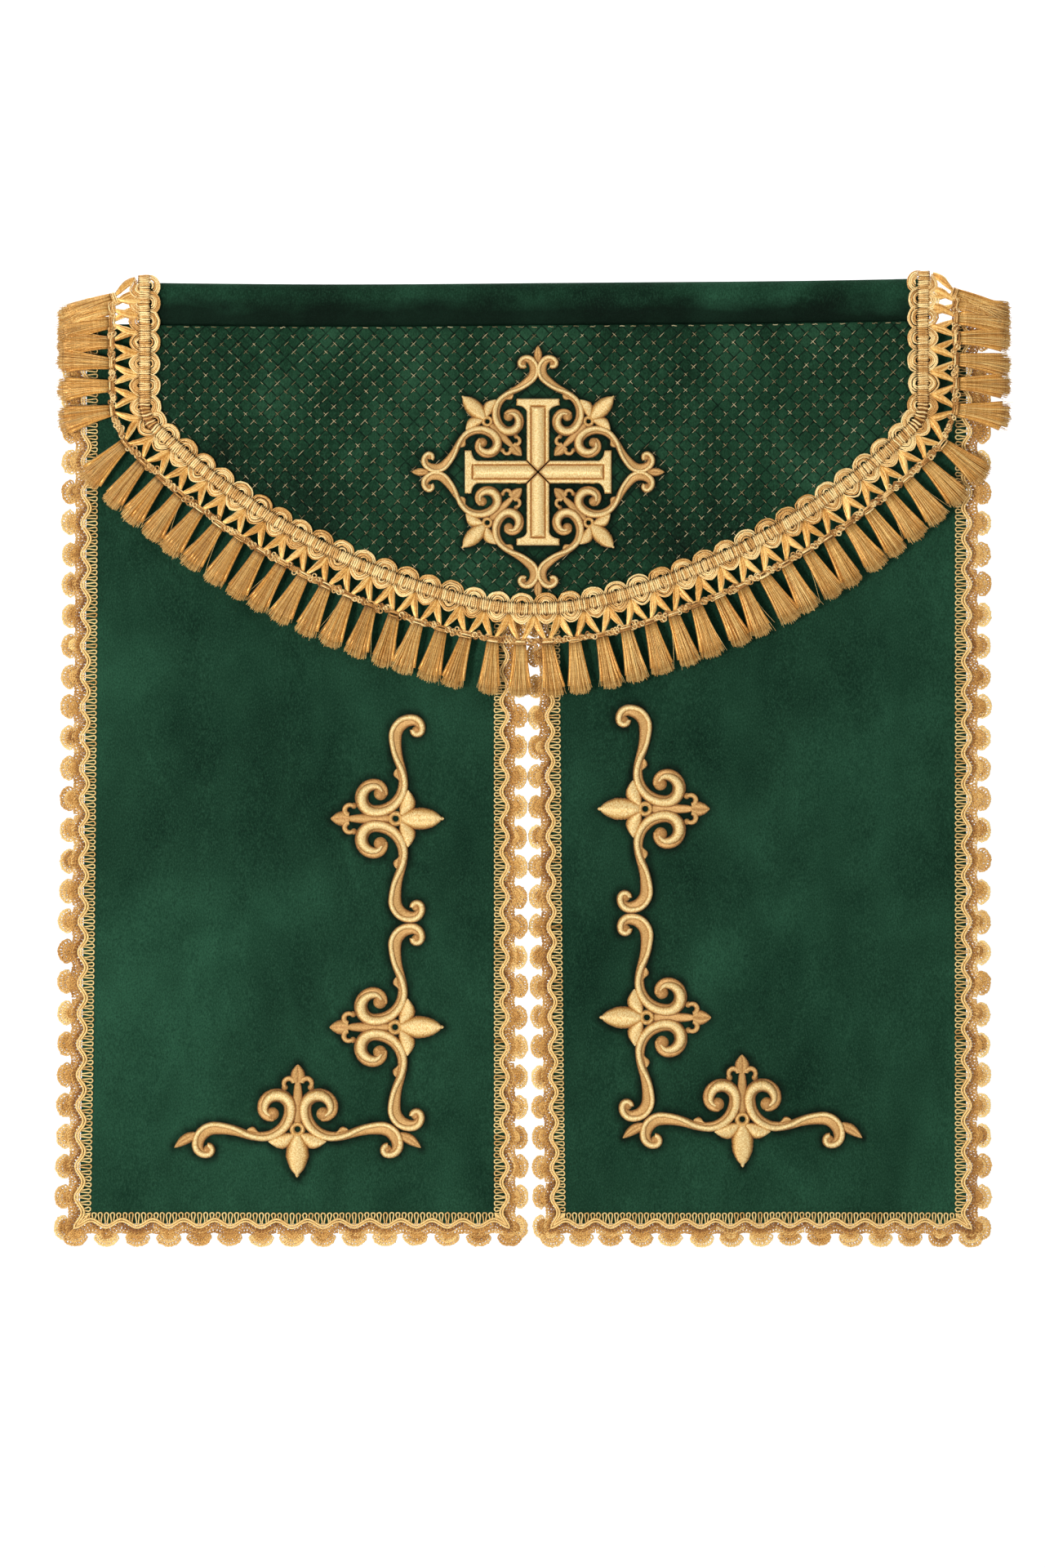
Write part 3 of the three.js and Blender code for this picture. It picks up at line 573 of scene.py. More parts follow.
# ---- Sleeve, tape and valance cloth ---------------------------------------------------------
def rod_sleeve():
    """The hem for the rod: a soft rounded band pinched at its seam, open at both ends.

    Round the band the section is a superellipse of power 2.6; its depth swells and dips along X.
    """
    long = np.linspace(SLEEVE_LOW[0], SLEEVE_HIGH[0], 130)
    turn = np.linspace(0, TAU, 45)[:-1]
    c, s = np.cos(turn), np.sin(turn)
    y = np.sign(c) * np.abs(c) ** (2 / 2.6)
    z = np.sign(s) * np.abs(s) ** (2 / 2.6)
    swell = 1 + 0.05 * np.sin(long / 31) + 0.035 * np.sin(long / 12.7 + 2)
    crease = 0.5 * np.sin(long / 47)[:, None] * np.sin(2 * turn)[None]
    work = Work()
    walls = []
    for inset in (0.0, 1.5):
        depth, height = SLEEVE_HIGH[1] - inset, SLEEVE_HIGH[2] - inset
        py = depth * y[None] * swell[:, None] + crease
        pz = height * z[None] + 0 * long[:, None]
        px = np.broadcast_to(long[:, None], py.shape)
        walls.append(np.stack([px, py, pz], -1))
    outer, inner = walls
    n = outer.shape[0] * outer.shape[1]
    face = grid_faces(*outer.shape[:2], around=True)
    j = np.arange(outer.shape[1])
    k = (j + 1) % outer.shape[1]
    last = n - outer.shape[1]
    ends = [
        np.stack([j, k, k + n, j + n], -1),
        np.stack([last + k, last + j, last + j + n, last + k + n], -1),
    ]
    points = np.concatenate([outer.reshape(-1, 3), inner.reshape(-1, 3)])
    work.add(points, [face[:, ::-1], face + n, ends[0][:, ::-1], ends[1][:, ::-1]], points[:, [0, 2]])
    work.shaped(sleeve_sag)
    piece = work.mesh("rod_sleeve_velvet", SLEEVE_VELVET, "velvet")
    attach(piece, "hanging")
    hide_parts("rod_sleeve")


def seam_binding():
    """Woven tape folded over the raw edges of the seam, puckered a little by its stitches.

    Its section is a U: two straight plies and a half circle of radius r that joins them below.
    """
    low, high = box_mm("seam_tape")
    ply = 0.5
    y_front, y_back = low[1] + 0.4, high[1] - 0.4
    r = (y_back - y_front) / 2
    leg = np.linspace(high[2], low[2] + r + 0.3, 7)
    bend = np.linspace(0, math.pi, 9)[1:-1]
    y = np.concatenate([y_front + 0 * leg, y_front + r - r * np.cos(bend), y_back + 0 * leg])
    z = np.concatenate([leg, leg[-1] - r * np.sin(bend), leg[::-1]])
    out_y, out_z = np.gradient(z), -np.gradient(y)
    size = np.hypot(out_y, out_z)
    x = np.linspace(low[0], high[0], 240)[None]
    pucker = 0.1 * np.sin(x / 1.7) * np.sin(math.pi * np.linspace(0, 1, len(z)))[:, None]
    sides = []
    for shift in (ply / 2, -ply / 2):
        py = (y + shift * out_y / size)[:, None] + pucker
        pz = (z + shift * out_z / size)[:, None] + 0.12 * np.sin(x / 9)
        sides.append(np.stack([x + 0 * py, py, pz], -1))
    run = np.hypot(np.diff(y), np.diff(z)).sum()
    work = slab(Work(), sides[0], ply, back=sides[1]).shaped(sleeve_sag)
    piece = work.mesh("seam_binding", TAPE, "tape")
    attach(piece, "hanging")
    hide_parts("seam_tape")


def panel_grid(under, step):
    """Front points of the valance cloth: columns from the seam down to the curved edge."""
    reach = HALF_WIDTH + under
    x = np.linspace(-1, 1, int(2 * reach / step) | 1)
    s = np.linspace(-EDGE_HALF, EDGE_HALF, 1600)
    edge = on_edge(s, under, 0)
    bottom_x, keep = edge[:, 0], np.abs(s) < SIDE_S
    bottom = np.interp(x * reach, bottom_x[keep], edge[keep, 2])
    rows = np.linspace(0, 1, int((CURTAIN_TOP - VALANCE_BOTTOM + under) / step) | 1)
    z = CURTAIN_TOP + (bottom - CURTAIN_TOP)[None] * rows[:, None]
    px = np.broadcast_to(x * reach, z.shape)
    return np.stack([px, np.zeros_like(z), z], -1)


def in_cross_ground(x, z):
    """Whether a place lies on the plain velvet inside the frame of scrolls round the cross."""
    dx, dz = np.abs(x - CROSS_X), np.abs(z - CROSS_Z)
    return (np.maximum(dx, dz) < 50) & (dx + dz < 74) | (dx + dz < 66) & (np.minimum(dx, dz) < 12)


def quilt_height(x, z):
    """Puffed lozenges: |cos| of both diagonals multiplied, so that the stitched lines lie low."""
    a = np.abs(np.sin(math.pi * (x + z) / LOZENGE))
    b = np.abs(np.sin(math.pi * (x - z) / LOZENGE))
    return 0.55 * np.sqrt(np.minimum(a * b, 1)) * np.where(in_cross_ground(x, z), 0.15, 1)


def valance_wave(x, z):
    """Broad shallow hollows of the quilted cloth, none at the seam."""
    drop = np.clip((SEAM_Z - z) / 100, 0, 1)
    return drop * (0.5 * np.sin(x / 38) + 0.35 * np.sin(x / 17 + z / 23))


def valance():
    """The quilted panel and its lining."""
    front = panel_grid(UNDER_BRAID, 1.9)
    x, z = front[..., 0], front[..., 2]
    front[..., 1] = PANEL_FRONT + 0.25 - quilt_height(x, z) + valance_wave(x, z)
    work = slab(Work(), front, VELVET * 0.6).shaped(sleeve_sag)
    panel = work.mesh("quilted_valance", QUILTED, "quilted_velvet")
    back = panel_grid(UNDER_BRAID - 2, 5)
    lining_low, lining_high = box_mm("valance_lining")
    back[..., 1] = lining_low[1]
    work = slab(Work(), back, lining_high[1] - lining_low[1]).shaped(sleeve_sag)
    lining = work.mesh("valance_satin", LINING, "lining")
    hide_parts("valance_panel")
    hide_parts("valance_lining")
    return panel, lining


def lattice_stitches():
    """Gold thread crossing at every corner of the lozenges: two short strokes, never quite alike."""
    low = int(VALANCE_BOTTOM / LOZENGE * 2) - 2
    i, j = np.meshgrid(np.arange(-52, 53), np.arange(low, 0), indexing="ij")
    keep = (i + j) % 2 == 0
    x, z = i[keep] * LOZENGE / 2, j[keep] * LOZENGE / 2
    s = np.linspace(-SIDE_S, SIDE_S, 900)
    edge = on_edge(s, -0.5, 0)
    inside = (z > np.interp(x, edge[:, 0], edge[:, 2])) & (np.abs(x) < HALF_WIDTH + 1)
    inside &= (z < CURTAIN_TOP - 1.5) & ~in_cross_ground(x, z)
    x, z = x[inside], z[inside]
    work = Work()
    for lean, reach, chance in ((1, 2.3, 0.92), (-1, 1.6, 0.84)):
        sewn = rng.random(len(x)) < chance
        n = int(sewn.sum())
        half = reach * (0.65 + 0.5 * rng.random(n))[:, None]
        t = np.array([-1.0, -0.4, 0.4, 1.0])[None]
        shift = rng.normal(0, 0.35, (n, 2))
        px = x[sewn][:, None] + shift[:, :1] + half * t * 0.7071
        pz = z[sewn][:, None] + shift[:, 1:] + lean * half * t * 0.7071
        lift = np.array([0.25, -0.3, -0.3, 0.25])[None]
        py = PANEL_FRONT + lift - quilt_height(px, pz) * 0.8 + valance_wave(px, pz)
        tubes(work, np.stack([px, py, pz], -1), 0.16 + 0.08 * rng.random((n, 1)), 4)
    # the running stitch along the seam under the sleeve
    start = np.arange(-HALF_WIDTH + 3, HALF_WIDTH - 3, 8.6)
    t = np.linspace(0, 1, 4)[None]
    px = start[:, None] + rng.random((len(start), 1)) * 3 + t * 3.2
    pz = np.full_like(px, CURTAIN_TOP - 0.9) + rng.normal(0, 0.15, px.shape)
    tubes(work, np.stack([px, np.full_like(px, PANEL_FRONT - 0.5), pz], -1), 0.26, 4)
    work.shaped(sleeve_sag)
    return work.mesh("lattice_stitches", STITCH_GOLD, "gold_embroidery")


# ---- Fringe ---------------------------------------------------------------------------------
# The braid is eased round the corners, so its middle line, not its edge, is divided evenly there.
END_UNITS, END_PITCH = 3, 11.8
END_LEAN = np.array([0.05, 0.16, 0.36])
RIB_PITCH = 1.28
HEADER_Y = PANEL_FRONT - 0.3
NECK_Y = HEADER_Y - 0.9


def fringe_units():
    """Each unit's distance along the edge, its pitch, and how far it leans down from square."""
    even = (np.arange(UNITS // 2) + 0.5) * PITCH
    flat, side = even[:-4], even[-5:]
    s = np.linspace(side[0], side[-1], 400)
    corner = CORNER_RADIUS * (math.pi / 2 - FLANK_ANGLE)
    eased = s + 14 / CORNER_RADIUS * np.clip(s - SIDE_S + corner, 0, corner)
    around = np.interp(np.linspace(eased[0], eased[-1], 6), eased, s)[1:]
    ends = EDGE_HALF + (np.arange(END_UNITS) + 0.5) * END_PITCH
    right = np.concatenate([flat, around, ends])
    lean = np.concatenate([0 * flat, [0.06, 0.04, 0.02, 0, 0.02], END_LEAN])
    return np.concatenate([-right[::-1], right]), np.concatenate([lean[::-1], lean])


CENTRES, LEAN = fringe_units()


def on_unit(centre, lean, u, out, y):
    """Points of a flat unit of fringe: centre + tangent * u + outward * out, turned down by lean.

    All arguments broadcast together, units first.
    """
    root = on_edge(centre, 0.0, 0.0)
    outward = on_edge(centre, 1.0, 0.0) - root
    turn = lean * np.sign(centre)
    c, w = np.cos(turn), np.sin(turn)
    ox = outward[..., 0] * c + outward[..., 2] * w
    oz = outward[..., 2] * c - outward[..., 0] * w
    u, out, y = np.broadcast_arrays(np.asarray(u, float), out, y)
    x = root[..., 0] - oz * u + ox * out
    z = root[..., 2] + ox * u + oz * out
    return np.stack([x, y + 0 * x, z], -1)


def end_wrap(points):
    """Lets the fringe's ends stand forward over the sleeve and lean over its top.

    Above the seam the fringe comes forward by the sleeve's depth, and past the top of the sleeve
    it turns back over it, on an arc of up to 1.4 radians.
    """
    x, y, z = points.T.copy()
    forward, roll = 3.6, 10
    rise = np.clip((z - SEAM_Z - 2) / 12, 0, 1)
    y = y - forward * rise * rise * (3 - 2 * rise)
    over = np.clip(z - (SLEEVE_HIGH[2] - 2), 0, 40)
    turn = np.minimum(over / roll, 1.4)
    z = z - over + roll * np.sin(turn)
    y = y + roll * (1 - np.cos(turn))
    return np.stack([x, y, z], -1)


def header_rise(out):
    """How far the gimp stands off the velvet: low scallops and a fuller ribbed middle."""
    return 0.55 + 1.5 * np.exp(-(((out - 9.0) / 3.8) ** 4))


def fringe_header(centres, lean):
    """The gimp: five threads in half rounds above, five below, and ribs bent over the middle.

    The half rounds are half ellipses of width r and height 0.8 r about the band's two edges.
    """
    work = Work()
    n = len(centres)
    c, w = centres[:, None], lean[:, None]
    a = np.linspace(0, math.pi, 11)[None]
    for k, r in enumerate((6.9, 5.75, 4.6, 3.4, 2.1)):
        shake = rng.normal(0, 0.1, (n, 11))
        drift = rng.normal(0, 0.2, (n, 1))
        u = -r * np.cos(a) + shake
        out = BAND_TOP - 0.8 * r * np.sin(a) + shake + drift
        y = HEADER_Y - 0.75 - 0.3 * np.sin(a) - 0.13 * k - 0.15 * rng.random((n, 1))
        thick = 0.66 - 0.24 * np.abs(np.cos(a)) ** 6
        tubes(work, on_unit(c, w, u, out, y), thick, 5, tone=0.35 + 0.6 * rng.random(n))
        u = r * np.cos(a) * (0.97 - 0.3 * np.sin(a)) + shake
        out = BAND_FOOT + 0.86 * r * np.sin(a) - shake + drift
        y = HEADER_Y - 0.95 - 0.25 * np.sin(a) - 0.13 * k - 0.15 * rng.random((n, 1))
        tubes(work, on_unit(c, w, u, out, y), thick, 5, tone=0.35 + 0.6 * rng.random(n))
    # ribs over the band, then a couched thread at each side of them
    first, last = centres[0] - 4.6, centres[-1] + 4.6
    count = int((last - first) / RIB_PITCH)
    s = (first + RIB_PITCH * (np.arange(count) + 0.5))[:, None] + rng.normal(0, 0.09, (count, 1))
    t = np.linspace(0, 1, 7)[None]
    out = 5.9 + 7.0 * t + rng.normal(0, 0.18, (count, 1)) + 0 * s
    y = HEADER_Y - header_rise(out) - 0.2 - 0.2 * rng.random((count, 1))
    thick = 0.7 - 0.34 * np.abs(2 * t - 1) ** 5
    lower = on_edge(s + 0.5 * np.sin(s / 2.9) * (t - 0.5) + 0.12 * np.sin(7 * t + s), out, y)
    tubes(work, lower, thick, 5, tone=0.4 + 0.6 * rng.random(count))
    # ribbon behind the ribs, at the darkest tone: painted shade seen between the ribs
    s = np.linspace(first, last, len(centres) * 4)
    out = np.linspace(6.6, 13.4, 4)
    front = on_edge(s[None] + 0 * out[:, None], out[:, None], HEADER_Y - 0.35)
    slab(work, front, 0.3, tone=0.0)
    return work


def straps(centres, lean):
    """Flat floss from each gap of the gimp down to both necks beside it.

    A strap is six threads whose spacing swells to its middle and closes at both ends, and whose
    line bows away from the middle of its unit.
    """
    work = Work()
    t = np.linspace(0, 1, 8)[None]
    n = len(centres)
    for side in (-1, 1):
        twist = rng.normal(0, 0.35, (n, 1))
        for k in range(6):
            q = (k - 2.5) / 2.5
            u = side * (7.0 * (1 - t) + 1.3 * t + 0.9 * np.sin(math.pi * t))
            swell = 2.0 * q * (0.28 + 0.8 * np.sin(math.pi * np.clip(t * 0.9 + 0.1, 0, 1)))
            wobble = rng.normal(0, 0.08, (n, 8))
            out = 13.6 + (KNOT_AT - 14.4) * t - 0.35 * swell * side + wobble
            rise = 0.5 + 0.9 * np.sin(math.pi * t) * (1 - q * q) + 0.3 * side + twist * q * t
            y = NECK_Y - rise + 1.0 * (1 - t) ** 3 + wobble
            path = on_unit(centres[:, None], lean[:, None], u + swell + wobble, out, y)
            tubes(work, path, 0.5, 4, tone=0.35 + 0.5 * rng.random(n))
    return work


def neck_knots(centres, lean):
    """Thread wound round each neck, and picots on the way from each neck to the next."""
    work = Work()
    a = np.linspace(0, TAU, 11)[:-1][None]
    c, w = centres[:, None], lean[:, None]
    n = len(centres)
    for k, wide in enumerate((3.0, 3.4, 3.5, 3.4)):
        out = KNOT_AT - 1.3 + 0.85 * k + 0.3 * np.sin(a) * rng.normal(0, 1, (n, 1))
        out = out + rng.normal(0, 0.15, (n, 1))
        y = NECK_Y + 0.2 - wide * np.sin(a) * 0.6
        tubes(work, on_unit(c, w, wide * np.cos(a), out, y), 0.52, 5, closed=True)
    neck = on_unit(centres, lean, 0.0, KNOT_AT - 0.6, NECK_Y - 0.6)
    gap = neck[1:] - neck[:-1]
    far = np.linalg.norm(gap, axis=-1)
    many = np.maximum(5, np.round(far / 1.9)).astype(int)
    start = np.repeat(neck[:-1], many, axis=0)
    step = np.concatenate([(np.arange(m) + 0.5) / m for m in many])
    line = np.repeat(gap, many, axis=0)
    across = unit(np.cross(line, FRONT))
    along = unit(line)
    m = len(start)
    for turn in (0, 1):
        r = rng.uniform(0.9, 1.5, (m, 1))
        at = start + line * (0.2 + 0.6 * step)[:, None]
        at = at + across * rng.normal(0.3, 0.8, (m, 1)) + along * rng.normal(0, 0.3, (m, 1))
        b = np.linspace(0, TAU, 9)[:-1][None]
        ring = at[:, None] + along[:, None] * (r * np.cos(b))[..., None]
        ring = ring + across[:, None] * (r * np.sin(b))[..., None]
        ring[..., 1] += 0.4 * np.sin(2 * b) - 0.5 * turn
        tubes(work, ring, 0.46, 4, closed=True)
    return work


def tassel_strands(centres, lean, count=185):
    """Floss skirts of loose strands round packed tufts.

    A strand leaves the neck at a random place of an ellipse and ends at the same place of a larger
    one, with a bow, a late waver and its own length.
    """
    work, cores = Work(), []
    t = np.linspace(0, 1, 6)[None]
    widening = 0.6 * t + 0.4 * t**2
    for c, w in zip(centres, lean):
        far = abs(c)
        corner = SIDE_S - 16 < far < SIDE_S + 4
        width = rng.uniform(8.2, 9.0) if corner else rng.uniform(6.6, 7.6)
        sway = rng.normal(0, 0.04) * 32
        droop = DROOP * min(far / EDGE_HALF, 1) ** 6
        radius, angle = rng.random(count) ** 0.55, rng.random(count) * TAU
        across, deep = (radius * np.cos(angle))[:, None], (radius * np.sin(angle))[:, None]
        stray = rng.random((count, 1)) < 0.03
        own = np.where(stray, rng.uniform(1.1, 1.9, (count, 1)), 1 + 0.08 * rng.normal(0, 1, (count, 1)))
        spread = NECK_HALF + (width * own - NECK_HALF) * widening
        waver = rng.normal(0, 0.35, (count, 1)) * np.sin(t * rng.uniform(3, 7, (count, 1)) + angle[:, None])
        u = across * spread + waver * t + sway * t
        length = TASSEL_END - KNOT_AT - 2.2 + rng.normal(0, 0.7, (count, 1)) - 2.2 * np.abs(across) ** 3
        length = np.where(stray, length * rng.uniform(0.9, 1.06, (count, 1)), length)
        out = KNOT_AT + 1.6 + length * t
        y = NECK_Y + 0.6 - deep * (1.8 + 1.1 * t) + 0.4 * waver
        path = on_unit(np.full((count, 1), c), np.full((count, 1), w), u, out, y)
        path[..., 2] -= droop * t**2
        thick = 0.23 * (1 - 0.25 * t) * np.where(stray, 0.6, 1)
        tubes(work, path, thick, 3, tone=np.where(stray[:, 0], 0.95, 0.3 + 0.55 * rng.random(count)))
        cores.append((c, w, width, sway, droop))
    # packed floss inside each skirt: flat tufts side by side, a little shorter than the strands
    c, w, width, sway, droop = (np.array(v)[:, None] for v in zip(*cores))
    for q in np.linspace(-1, 1, 7):
        spread = (NECK_HALF + (width * 0.86 - NECK_HALF) * widening) * q
        out = KNOT_AT + 1.6 + (TASSEL_END - KNOT_AT - 5.5 - 1.5 * abs(q) ** 3) * t
        y = NECK_Y + 0.7 - 0.5 * (1 - q * q) + 0 * out
        path = on_unit(c, w, spread + sway * t, out + 0 * c, y + 0 * c)
        path[..., 2] -= droop * t**2
        tubes(work, path, 0.55 + 0.085 * width * (0.3 + 1.0 * t), 5, tone=0.3 + 0.15 * rng.random(len(c)))
    return work


def fringe():
    """The whole fringe, run past the valance's seam onto the sleeve at both ends."""

    def drape(points):
        return sleeve_sag(end_wrap(points))

    header = fringe_header(CENTRES, LEAN).shaped(drape)
    header = header.mesh("gimp_header", BRAID_GOLD, "fringe_braid")
    net = straps(CENTRES, LEAN).shaped(drape).mesh("floss_straps", FLOSS_GOLD, "fringe_braid")
    necks = neck_knots(CENTRES, LEAN).shaped(drape).mesh("neck_knots", BRAID_GOLD, "fringe_braid")
    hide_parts("fringe_braid", "left_end_braid", "right_end_braid")
    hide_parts("fringe_net")
    rows = []
    middle, lean = CENTRES[END_UNITS:-END_UNITS], LEAN[END_UNITS:-END_UNITS]
    last = len(middle)
    names = ("left_side", "left_outer", "left_inner", "middle", "right_inner", "right_outer", "right_side")
    starts = (0, 5, 13, 19, last - 19, last - 13, last - 5, last)
    for name, a, b in zip(names, starts, starts[1:]):
        work = tassel_strands(middle[a:b], lean[a:b]).shaped(drape)
        row = work.mesh("tassel_floss_" + name, FLOSS_GOLD, "tassel_floss")
        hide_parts("tassels_" + name)
        rows.append(row)
    for name, part in (("left", slice(0, END_UNITS)), ("right", slice(-END_UNITS, None))):
        work = tassel_strands(CENTRES[part], LEAN[part], 220).shaped(drape)
        end = work.mesh("tassel_floss_" + name + "_end", FLOSS_GOLD, "tassel_floss")
        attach(end, "hanging")
        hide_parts(name + "_end_tassels")
    return [header, net, necks], rows


# ---- Lace -----------------------------------------------------------------------------------
LACE_PITCH = 18.6
CORD_AT, CORD_SWING = 6.9, 2.1


def cord_out(along):
    """How far out the wavy cord lies: a cosine of one repeat."""
    return CORD_AT - CORD_SWING * np.cos(TAU * along / LACE_PITCH)


def curls(along, out, loops, size, rise, points=8):
    """A thread that loops as it goes: the line (along, out) plus a circle turned `loops` times."""
    t = np.linspace(0, 1, loops * points + 1)
    at = np.linspace(0, 1, len(along))
    a = TAU * loops * t
    u = np.interp(t, at, along) + size * np.sin(a)
    o = np.interp(t, at, out) + size * 1.05 * np.cos(a)
    return u, o, rise + 0.35 * np.sin(a + 0.8)


def lace_unit():
    """The threads of one repeat as (radius, tone, jitter, along, out, rise).

    Hairpins have a half circle at the tip and legs that run under the cord; curls fill the band
    beyond the cord and then the fan, row over row, each row an arc about the fan's root.
    """
    p, parts = LACE_PITCH, []
    tip = np.linspace(-1, 1, 7) * math.pi / 2
    for k in range(5):
        a0 = (k + 0.5) * p / 5
        foot = cord_out(a0) + 0.8
        leg = np.linspace(foot, 1.9, 3)[:-1]
        along = np.concatenate([a0 - 0.6 + 0 * leg, a0 + 1.22 * np.sin(tip), a0 + 0.6 + 0 * leg])
        out = np.concatenate([leg, 1.5 - 1.22 * np.cos(tip), leg[::-1]])
        parts.append((0.45, 0.85, 0.09, along, out, 0.35 + 0.15 * np.abs(along - a0)))
    # curls that follow the cord
    along = np.linspace(0, p, 13)
    for follow, away, loops, size, tone in (
        (1.0, 2.5, 10, 0.95, 0.2),
        (0.75, 5.6, 9, 1.1, 0.4),
        (0.45, 9.5, 9, 1.3, 0.5),
    ):
        line = follow * cord_out(along) + away
        parts.append((0.5, tone, 0.14, *curls(along, line, loops, size, 0.3)))
    # the fan
    for reach, wide, loops, size, tone in (
        (3.6, 1.45, 7, 1.15, 0.45),
        (6.1, 1.42, 9, 1.2, 0.55),
        (8.3, 1.38, 10, 1.4, 0.72),
    ):
        sweep = np.linspace(-wide, wide, 12)
        along = p / 2 + reach * 0.75 * np.sin(sweep)
        out = 11.8 + reach * 0.98 * np.cos(sweep) ** 0.62
        parts.append((0.58, tone, 0.2, *curls(along, out, loops, size, 0.45)))
    return parts


def lace_strip(work, start, direction, outward, length, stretch, y, before=0.0, after=0.0):
    """Lace along a straight edge: place = start + along * direction + out * outward.

    Where it runs past an end, it stops at that corner's mitre line, so along >= -out there.
    """
    start, direction, outward = (np.asarray(v, float) for v in (start, direction, outward))
    repeats = max(1, round(length / LACE_PITCH))
    scale = length / (repeats * LACE_PITCH)
    extra = (math.ceil(before / LACE_PITCH), math.ceil(after / LACE_PITCH))
    index = np.arange(-extra[0], repeats + extra[1])[:, None]

    def put(u, o, rise):
        low = np.where(before > 0, -o - 0.2, 0.3)
        high = np.where(after > 0, length + o + 0.2, length - 0.3)
        u = np.clip(u, low, high)
        points = start + u[..., None] * direction + o[..., None] * outward
        points[..., 1] = y - rise
        return points

    n = len(index)
    for radius, tone, jitter, along, out, rise in lace_unit():
        drift = (out > 9.5) * rng.normal(0, 0.3, (n, 1))
        u = (along[None] + index * LACE_PITCH) * scale + rng.normal(0, jitter, (n, len(along))) + drift
        o = (out[None] + rng.normal(0, jitter, (n, len(out)))) * stretch + drift * 0.6
        kept = (u.mean(1) > -before) & (u.mean(1) < length + after)
        tubes(work, put(u, o, rise + 0 * o)[kept], radius, 4, tone=tone + rng.normal(0, 0.12, kept.sum()))
    u = np.linspace(-before, length + after, int((length + before + after) / 1.2))
    for shift in (-0.8, 0.8):
        o = (cord_out(u / scale) + shift) * stretch
        tubes(work, put(u, o, 1.25 + 0 * u), 0.66, 6, tone=0.75)
    return work


def tip_share(points, edge):
    """0 on the curtain, rising to 1 at the tips of the fans that face the other curtain."""
    return np.clip((np.abs(points[:, :1] - edge) - 14) / 4, 0, 1)


def curtain_laces(side, word):
    """Outer, inner and bottom lace of one curtain, following the curtain's own hang."""
    y = CURTAIN_FRONT - 0.25
    drop = CURTAIN_TOP - CURTAIN_BOTTOM
    x_out, x_in = SLIT_X + side * LOOPS_OUT, SLIT_X + side * LOOPS_IN
    foot, up, past = (min(x_in, x_out), 0, CURTAIN_BOTTOM), (0, 0, 1), 11.0
    runs = {
        "outer": ((x_out, 0, CURTAIN_BOTTOM), up, (side, 0, 0), drop, 1.02, y, past, 0.0),
        "inner": ((x_in, 0, CURTAIN_BOTTOM), up, (-side, 0, 0), drop - 10, 0.94, y, past, 0.0),
        "bottom": (foot, (1, 0, 0), (0, 0, -1), LOOPS_OUT - LOOPS_IN, 0.96, y - 0.15, past, past),
    }
    laces = []
    for kind, run in runs.items():
        work = lace_strip(Work(), *run)
        if kind == "inner":
            work.shaped(lambda points: points + FRONT * (-0.5 * side * tip_share(points, x_in)))
        work.shaped(curtain_hang(side))
        lace = work.mesh(f"{word}_{kind}_lace_threads", LACE_GOLD, "lace")
        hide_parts(f"{word}_{kind}_lace")
        if kind != "bottom":
            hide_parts(f"{word}_{kind}_lace_top")
        laces.append(lace)
    return laces


def curtain_cloth(side, word):
    """One curtain and its lining, each a single cloth from the seam to the hem."""
    inner, outer = LOOPS_IN - UNDER_LACE, LOOPS_OUT + UNDER_LACE
    ends = sorted((SLIT_X + side * inner, SLIT_X + side * outer))
    low, high = CURTAIN_BOTTOM - UNDER_LACE, CURTAIN_TOP
    pieces = []
    lining_low, lining_high = box_mm(word + "_lining")
    for name, inset, step, y, thick, material, slot in (
        ("velvet", 0, 2.6, CURTAIN_FRONT, VELVET, CURTAIN_VELVET, "velvet"),
        ("satin", 2, 5, lining_low[1], lining_high[1] - lining_low[1], LINING, "lining"),
    ):
        x = np.linspace(ends[0] + inset, ends[1] - inset, int((outer - inner) / step))
        z = np.linspace(high, low + inset, int((high - low) / step))
        px, pz = np.meshgrid(x, z)
        front = np.stack([px, np.full_like(px, y), pz], -1)
        edges = None
        if name == "satin":
            edges = np.stack([np.minimum(px - x[0], x[-1] - px), np.minimum(z[0] - pz, pz - z[-1])], -1)
            fade = np.clip(edges.min(-1) / 25, 0, 1)
            front[..., 1] += fade * (0.5 + 0.5 * np.sin(px / 15 + np.sin(pz / 70) * 2)) * 0.9
        work = slab(Work(), front, thick, edges).shaped(curtain_hang(side))
        piece = work.mesh(f"{word}_curtain_{name}", material, slot)
        nodes = ("_curtain", "_curtain_top") if name == "velvet" else ("_lining", "_lining_top")
        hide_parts(*[word + n for n in nodes])
        pieces.append(piece)
    return pieces, (outer - inner, high - low)


# ---- Embroidery -----------------------------------------------------------------------------
SCROLL_START = (-7.2, 14.6, math.radians(80))
SCROLL_ARCS = (
    (5.5, 100), (8.3, 90), (8.3, 90), (17.2, 90), (35, 20), (48, -20), (10.5, -90), (5.5, -100), (2.7, -170)
)
# along the scroll: its share, its full width, the rope's width, and the rope's place to the left
SCROLL_BODY = np.array(
    [
        (0.00, 4.8, 1.0, 1.2),
        (0.05, 6.2, 3.2, 1.3),
        (0.10, 7.6, 5.0, 1.1),
        (0.18, 8.2, 7.2, 0.1),
        (0.26, 7.8, 6.4, -0.5),
        (0.34, 7.4, 5.5, -0.9),
        (0.43, 6.6, 4.6, -0.9),
        (0.50, 6.0, 4.1, -0.9),
        (0.57, 5.2, 3.7, 0.0),
        (0.65, 6.6, 3.4, 1.5),
        (0.74, 8.2, 3.3, 2.4),
        (0.81, 8.2, 3.5, 2.2),
        (0.88, 6.8, 4.2, 1.1),
        (0.94, 4.8, 4.0, 0.2),
        (1.00, 3.4, 3.0, 0.0),
    ]
)


